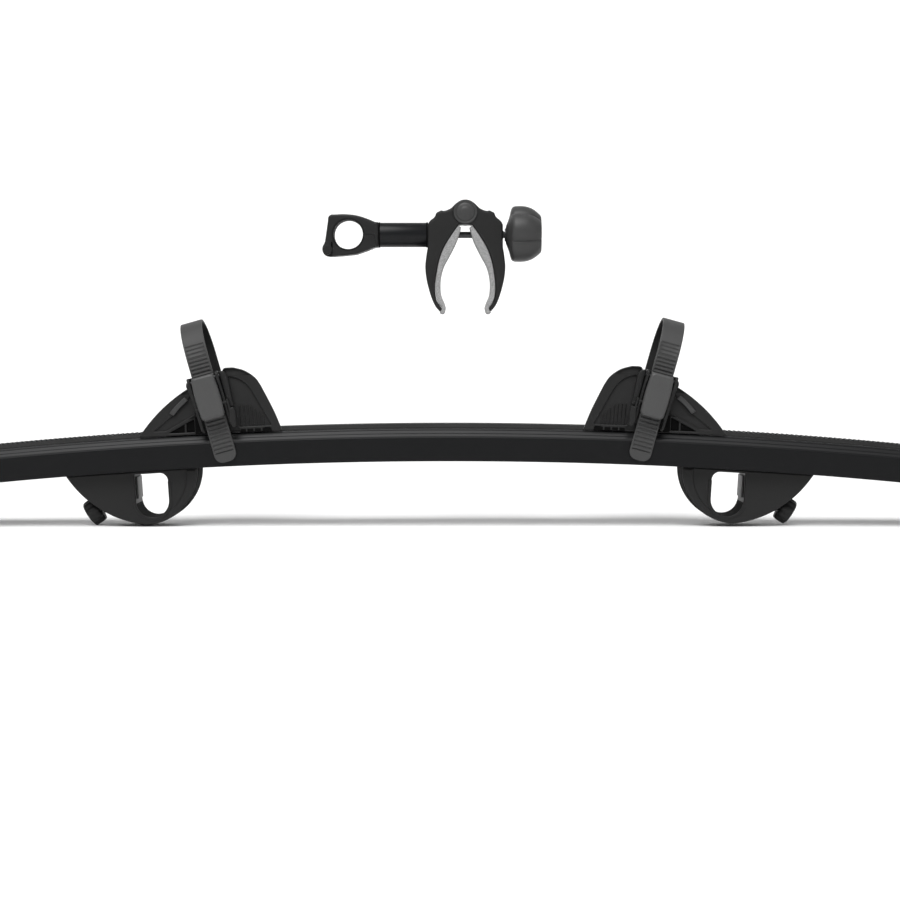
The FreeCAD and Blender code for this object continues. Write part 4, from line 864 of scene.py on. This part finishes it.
def build_holders():
    """Both wheel holders from one set of shells, with the outward side mirrored by on_rail."""
    cheek = cheek_shells()
    strap_gap = lean(block((-12.3, 12.3), (30, 46), (76, 97), 0.3))
    pieces = (
        ("_cradle", base_shell(), "_holder", SHELL_BLACK, "moulded_black", "_cradle_base"),
        ("_fin_near", cheek, "_holder", SHELL_BLACK, "moulded_black", "_near_cheek"),
        ("_fin_far", far_cheek(cheek), "_holder", SHELL_BLACK, "moulded_black", "_far_cheek"),
        ("_ladder_strap", lean(strap_shell()), "_holder", STRAP_GREY, "strap_grey", "_strap"),
        ("_ratchet_frame", lean(flange_shells()), "_holder", SHELL_BLACK, "moulded_black", "_ratchet_base"),
        ("_lever_cover", lean(lever_shell()), "_lever", LEVER_GREY, "lever_grey", "_ratchet_lever"),
        # the bar is part of the black cheek moulding; its lighter grey finish is a painted highlight for the
        # light its raised top catches
        ("_wedge_bar_painted_highlight", bar_shell(), "_holder", KNOB_GREY, "moulded_black", None),
        # painted shade behind the cheek's openings
        ("_shadow_faces", shadow_shell(), "_holder", PAINTED_SHADE_BLACK, "moulded_black", None),
        # painted shade on the inside of the strap's loop
        ("_strap_painted_shade", lean(strap_painted_shade()), "_holder", MAT_BLACK, "strap_grey", None),
        ("_pawl", lean(pawl_shell()), "_pawl", SHELL_BLACK, "lever_grey", "_release_pawl"))
    for holder, angle in HOLDER_ANGLE.items():
        for name, shell, body, finish, slot, node in pieces:
            cuts = [on_rail(strap_gap, angle)] if name == "_fin_far" else ()
            make(holder + name, on_rail(shell, angle), holder + body, finish,
                 [holder + node] if node else (), cuts)


# ---------------------------------------------------------------- frame arm
def ring_loop():
    """The ring with its foot towards the tube, seen along the bore."""
    return trace((-25.5, -9), [(-28.6, -17), (-24.5, -23.2)], [(-20, -24)], [(-6, -23), (9, -21.4)],
                 [(20, -17.6), (27, -14.6), (33, -13.4)], [(33, 13.4)], [(29.5, 13.4)],
                 [(21, 17), (9, 20.7), (-4, 22), (-16, 21.6)], [(-20.8, 20), (-22, 16)], [(-22.3, 13)])


def parted(drop, reach, *outside):
    """Solid below the ring's parting line and within reach of the gate's hinge: the line steps
    up at the bore, an arc about the hinge ends it, and the points outside close it."""
    hinge_x, hinge_z = GATE_HINGE
    corner = hinge_x + math.sqrt(reach**2 - (hinge_z + drop) ** 2)
    side = hinge_x + math.sqrt(reach**2 - (hinge_z + 40) ** 2)
    outline = trace((-60, -PARTING_STEP - drop), [(0, -PARTING_STEP - drop)], [(0, -drop)],
                    [(corner, -drop)], [(hinge_x + reach, hinge_z), (side, -40)], [(side, -60)],
                    *[[point] for point in outside])
    return plate([soften(outline, 0.3, 0.8)], -18, 18, 0.1, steps=1)


def gate_knuckle(start, end):
    """A length of the hinge's barrel, at the ring's lower left."""
    hinge_x, hinge_z = GATE_HINGE
    return lathe(rounded_profile(start, end, 5.3, 0.8), (0, 1, 0), (hinge_x, 0, hinge_z), around=48)


def build_ring():
    """Ring in two halves with a stepped parting line, hinged on a barrel at the lower left."""
    body = plate([soften(ring_loop(), 0.8, 0.8)], -RING_HALF, RING_HALF, 2.4, steps=5)
    bore = lathe(rounded_profile(-20, 20, RING_BORE, 0.1), (0, 1, 0), around=96)
    low = parted(0, GATE_REACH, (-60, -60))
    high = parted(GATE_GAP, GATE_REACH - GATE_GAP, (70, -60), (70, 60), (-60, 60))
    hinge_x, hinge_z = GATE_HINGE
    room = [block((hinge_x - 9, hinge_x + 5.6), span, (hinge_z - 9, -4), 0.2)
            for span in ((7, 18), (-18, -7))]
    side = polygon([(-18.4, -17.5), (-18.4, -7.7), (-25.3, -7.7), (-27.7, -15), (-22.5, -20.6)])
    webs = [plate([soften(side, 0.4, 0.6)], start, end, 0.6, steps=2)
            for start, end in ((7.3, RING_HALF), (-RING_HALF, -7.3))]
    head, thread = (lathe(rounded_profile(*bar, 0.1), (0, 0, 1), (GATE_SCREW_X, 0, 0), around=40)
                    for bar in ((-30, -3.5, 4.5), (-10, 9, 2.8)))
    ears = joined(gate_knuckle(7.35, RING_HALF + 0.3), gate_knuckle(-RING_HALF - 0.3, -7.35), *webs)
    make("ring_upper", at_ring(body), "arm_frame", SHELL_BLACK, ["ring_bracket"],
         [at_ring(cut) for cut in (bore, low, thread)])
    make("ring_ears", at_ring(ears), "arm_frame", SHELL_BLACK)
    make("ring_lower", at_ring(body), "ring_gate", SHELL_BLACK, ["ring_gate"],
         [at_ring(cut) for cut in (bore, high, *room, head, thread)])
    make("ring_knuckle", at_ring(gate_knuckle(-7, 7)), "ring_gate", SHELL_BLACK)


def jaw_loop():
    """The fixed jaw seen along the pivot, from the knuckle over its shoulder to the tip."""
    return trace((0, 13.2), [(-6, 12.2), (-10.5, 9.2), (-15.5, 4.4), (-20.5, 1.9)], [(-24, 1.2)],
                 [(-26, 1.8), (-28.6, 0.6)], [(-31.5, -1.0), (-32.6, -4.0)], [(-35.0, -6.8)],
                 [(-39.6, -11), (-41, -14)], [(-41, -38)],
                 [(-42.6, -48), (-43.7, -60), (-42.2, -74), (-38, -90), (-33.5, -101), (-28.5, -107.5)],
                 [(-26, -107), (-26.2, -104)],
                 [(-31.5, -95), (-33, -82), (-31.8, -68), (-28.6, -52), (-23, -37.5), (-14, -23),
                  (-7, -13.5)],
                 [(0, -13.2)])


def pad_loop():
    """The soft pad inside the fixed jaw, hooked round its tip."""
    return trace((-7.6, -14.6), [(-13.7, -23), (-22.7, -37.5), (-28.3, -52), (-31.5, -68),
                 (-32.7, -82), (-31.2, -95), (-25.9, -104)],
                 [(-26.8, -107.2), (-28.2, -108.6)], [(-25, -111), (-22, -108)],
                 [(-21.2, -104)], [(-23, -98.5), (-26, -91), (-27.1, -81), (-26.3, -70), (-23, -58.5),
                                   (-16.9, -47.2), (-10.3, -34), (-6.2, -23), (-4.6, -16.4)])


def across(start, end, radius, rim=0.1, x=0.0, z=0.0, around=64):
    """Turned bar across the arm, parallel to the jaws' pivot."""
    return lathe(rounded_profile(start, end, radius, rim), (0, 1, 0), (x, 0, z), around)


def rod_slot(corners, half=SLOT_HALF):
    """Space for the draw rod through a jaw."""
    return plate([soften(polygon(corners), 0.4, 0.8)], -half, half, 0.2, steps=2)


def build_jaws():
    """Two jaws with pads: the fixed one has the middle knuckle, the moving one the two bosses
    beside it, and each is slotted for the draw rod and bored for the rod's cross barrel."""
    fixed = plate([soften(jaw_loop(), 0.7, 0.8)], -JAW_HALF, JAW_HALF, 2.6, steps=5)
    pad = plate([soften(pad_loop(), 0.5, 0.7)], 1.0 - JAW_HALF, JAW_HALF - 1.0, 1.2, steps=4)
    slot = rod_slot([(-34, -29), (2, -37), (2, -12), (-34, -19)])
    anchor = across(-10.3, 10.3, 6.3, 0.2, -32, -ROD_DROP)
    boss_room = [across(8, 18, KNUCKLE_RADIUS + 0.3), across(-18, -8, KNUCKLE_RADIUS + 0.3)]
    knuckle = across(-8, 8, KNUCKLE_RADIUS, 0.5, around=80)
    make("fixed_jaw_shell", at_pivot(fixed), "arm_frame", SHELL_BLACK, ["fixed_jaw"],
         [at_pivot(cut) for cut in (*boss_room, slot, anchor)])
    make("fixed_jaw_knuckle", at_pivot(knuckle), "arm_frame", SHELL_BLACK)
    make("fixed_pad", at_pivot(pad), "arm_frame", PAD_GREY, ["fixed_jaw_pad"], [at_pivot(slot)])
    slot = rod_slot([(-2, -37), (37, -30), (50, -33), (50, -16), (37, -19), (-2, -12)])
    neck_room = rod_slot([(40, -33.5), (50, -36.5), (50, -12), (40, -15)], 9)
    thrust = across(-10.3, 10.3, 6.3, 0.2, 37, -ROD_DROP)
    knuckle_room = across(-8.3, 8.3, KNUCKLE_RADIUS + 0.3)
    make("moving_jaw_shell", at_pivot(flipped(fixed)), "moving_jaw", SHELL_BLACK,
         ["moving_jaw"], [at_pivot(cut) for cut in (knuckle_room, slot, neck_room, thrust)])
    bosses = [across(start, end, KNUCKLE_RADIUS, 0.8, around=80)
              for start, end in ((8.3, 16.3), (-16.3, -8.3))]
    make("moving_jaw_bosses", at_pivot(joined(*bosses)), "moving_jaw", SHELL_BLACK)
    make("moving_pad", at_pivot(flipped(pad)), "moving_jaw", PAD_GREY, ["moving_jaw_pad"],
         [at_pivot(slot)])


def build_pivot_cover():
    """Stepped, domed caps on both ends of the jaws' pivot."""
    dome = polygon([(0.35, 0.01), (0.35, 12.7), (0.8, 12.9), (1.2, 12.6), (1.2, 10.7), (0.9, 10.3),
                    (1.6, 9.8), (2.2, 8.2), (2.5, 6.4), (2.7, 5.6), (3.3, 4.6), (3.5, 3.0), (3.6, 0.01)])
    caps = [lathe((dome + (JAW_HALF, 0)) * (side, 1), (0, 1, 0), around=80) for side in (-1, 1)]
    shaft = across(-JAW_HALF - 2, JAW_HALF + 2, 4, around=32)
    make("pivot_cover", at_pivot(joined(*caps, shaft)), "arm_frame", KNOB_GREY, ["pivot_pin"])


def build_tube():
    """Arm tube with chamfered ends, and a dark seal where it enters the ring and the jaw: a real collar whose
    near-black finish also paints the shade in the gap there.
    """
    start, end, bore = 33.0, 86.7, 11.5
    wall = [(start, bore), (start, TUBE_RADIUS - 0.3), (start + 0.3, TUBE_RADIUS), (end - 0.4, TUBE_RADIUS),
            (end, TUBE_RADIUS - 0.3), (end, bore), (start, bore)]
    make("arm_tube_skin", at_ring(lathe(wall, (1, 0, 0), around=96)), "arm_frame", TUBE_BLACK,
         ["arm_tube"])
    seals_and_gap_shade = [lathe(rounded_profile(low, high, TUBE_RADIUS + 0.5, 0.4), (1, 0, 0), around=80)
             for low, high in ((32.9, 34.6), (85.2, 86.9))]
    # the seals' near-black finish is partly painted shade for the gaps at the tube's ends
    make("tube_seals", at_ring(joined(*seals_and_gap_shade)), "arm_frame", PAINTED_SHADE_BLACK)


def knob_lobes(distance, angle):
    """Five lobes with a sharp crease between them: the radius shrinks by the depth times one
    less the root of a cosine wave, and both fade to nothing at the neck."""
    wave = 0.5 + 0.5 * np.cos(5 * angle)
    depth = 0.11 * np.clip((distance - 47.5) / 4, 0, 1)
    crease = np.exp(-wave / 0.012)
    return 1 - depth * (1 - np.sqrt(wave)) - 0.02 * crease * np.clip((distance - 50) / 3, 0, 1)


def build_knob():
    """Lobed knob on the draw rod, with a cone towards the jaw and a sunken centre in its face."""
    profile = [(48.5, 0.01), (48.5, 8.4), (44.4, 8.4), (44.9, 10.4), (46.6, 14.5), (48.2, 19.4),
               (49.6, 25.2), (50.6, 28.6), (52.2, 30.6), (54.6, 31.4), (60, 31.6), (65, 31.3), (69, 30.4),
               (72.6, 29.0), (76.0, 27.0), (79.0, 24.6), (81.2, 22.6), (82.6, 21.0), (83.2, 19.4),
               (83.3, 12), (82.7, 10.6), (82.5, 0.01)]
    knob = lathe(profile, (1, 0, 0), (0, 0, -ROD_DROP), around=240, lobe=knob_lobes)
    make("knob_body", at_pivot(knob), "arm_clamp_knob", KNOB_GREY, ["arm_clamp_knob"])


# ---------------------------------------------------------------- pieces kept as they are
DARK_NODES = ("draw_rod", "thrust_barrel", "rod_anchor", "thrust_washer", "knob_insert", "gate_screw")
DARK_ENDINGS = ("_lever_pin", "_pawl_spring", "_cheek_screws")
SLOT_FINISHES = {"steel": ZINC, "soft_black": SOFT_BLACK, "moulded_black": SHELL_BLACK,
                 "rail_black": RAIL_BLACK, "mat_rubber": MAT_BLACK, "knob_grey": KNOB_GREY,
                 "tube_black": TUBE_BLACK, "pad_grey": PAD_GREY, "strap_grey": STRAP_GREY,
                 "lever_grey": LEVER_GREY}


def finish_cad():
    """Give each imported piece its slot's finish; small hidden steel pieces are blackened."""
    slots = {row["node"]: row["material_slot"] for row in frame["record"]["subparts"]}
    for node, piece in frame["nodes"].items():
        dark = node in DARK_NODES or node.endswith(DARK_ENDINGS)
        piece.data.materials.clear()
        piece.data.materials.append(DARK_STEEL if dark else SLOT_FINISHES[slots[node]])


# ---------------------------------------------------------------- stage, lights, camera
def stage_material():
    """Matt off-white."""
    material = bpy.data.materials.new("pale_floor")
    material.use_nodes = True
    shader = material.node_tree.nodes["Principled BSDF"]
    shader.inputs["Base Color"].default_value = (0.93, 0.93, 0.93, 1)
    shader.inputs["Roughness"].default_value = 0.9
    return material


def build_stage():
    """Metres."""
    bend, radius = 2.5, 2.0
    turn = np.linspace(0.1, math.pi / 2, 14)
    y = np.concatenate((np.linspace(-6, bend, 4), bend + radius * np.sin(turn), [bend + radius]))
    z = np.concatenate((np.zeros(4), radius - radius * np.cos(turn), [7.0])) + cad_low.z - 0.001
    points = np.stack([np.column_stack((np.full(len(y), x), y, z)) for x in (-7.0, 7.0)], axis=1)
    mesh = bpy.data.meshes.new("floor")
    mesh.from_pydata(points.reshape(-1, 3).tolist(), [], grid_faces(len(y), 2, wrap=False))
    mesh.shade_smooth()
    mesh.materials.append(stage_material())
    floor = bpy.data.objects.new("floor", mesh)
    bpy.context.collection.objects.link(floor)


def area_light(name, place, target, size, power):
    """Round soft lamp at a place in metres, turned to its target."""
    data = bpy.data.lights.new(name, "AREA")
    data.shape, data.size, data.energy = "DISK", size, power
    lamp = bpy.data.objects.new(name, data)
    lamp.location = place
    lamp.rotation_euler = (Vector(target) - Vector(place)).to_track_quat("-Z", "Y").to_euler()
    bpy.context.collection.objects.link(lamp)


def build_lights():
    """White room, a soft lamp overhead, a weaker one from the side, and broad daylight."""
    world = bpy.data.worlds.new("soft_room")
    world.use_nodes = True
    world.node_tree.nodes["Background"].inputs[0].default_value = (1, 1, 1, 1)
    world.node_tree.nodes["Background"].inputs[1].default_value = 0.30
    bpy.context.scene.world = world
    area_light("overhead", (-0.5, -1.0, 2.3), (0, 0, 0.15), 1.8, 20)
    area_light("side", (2.4, -1.6, 1.4), (0, 0, 0.15), 1.2, 7)
    data = bpy.data.lights.new("daylight", "SUN")
    data.energy, data.angle = 2.6, math.radians(50)
    sun = bpy.data.objects.new("daylight", data)
    sun.rotation_euler = Vector((0.18, 0.55, -0.85)).to_track_quat("-Z", "Y").to_euler()
    bpy.context.collection.objects.link(sun)


def build_camera():
    camera = bpy.data.cameras.new("view")
    camera.sensor_width = 36.0
    camera.lens = 83.6
    camera.clip_end = 50
    eye = bpy.data.objects.new("view", camera)
    eye.location = (0, -EYE_BACK * MM, (CROWN + EYE_OVER_CROWN) * MM)
    eye.rotation_euler = (math.pi / 2 - EYE_TIP, 0, 0)
    bpy.context.collection.objects.link(eye)
    bpy.context.scene.camera = eye
    bpy.context.scene.view_settings.view_transform = "Standard"


finish_cad()
build_rail()
build_mats()
build_feet()
build_holders()
build_jaws()
build_pivot_cover()
build_tube()
build_ring()
build_knob()
build_stage()
build_lights()
build_camera()
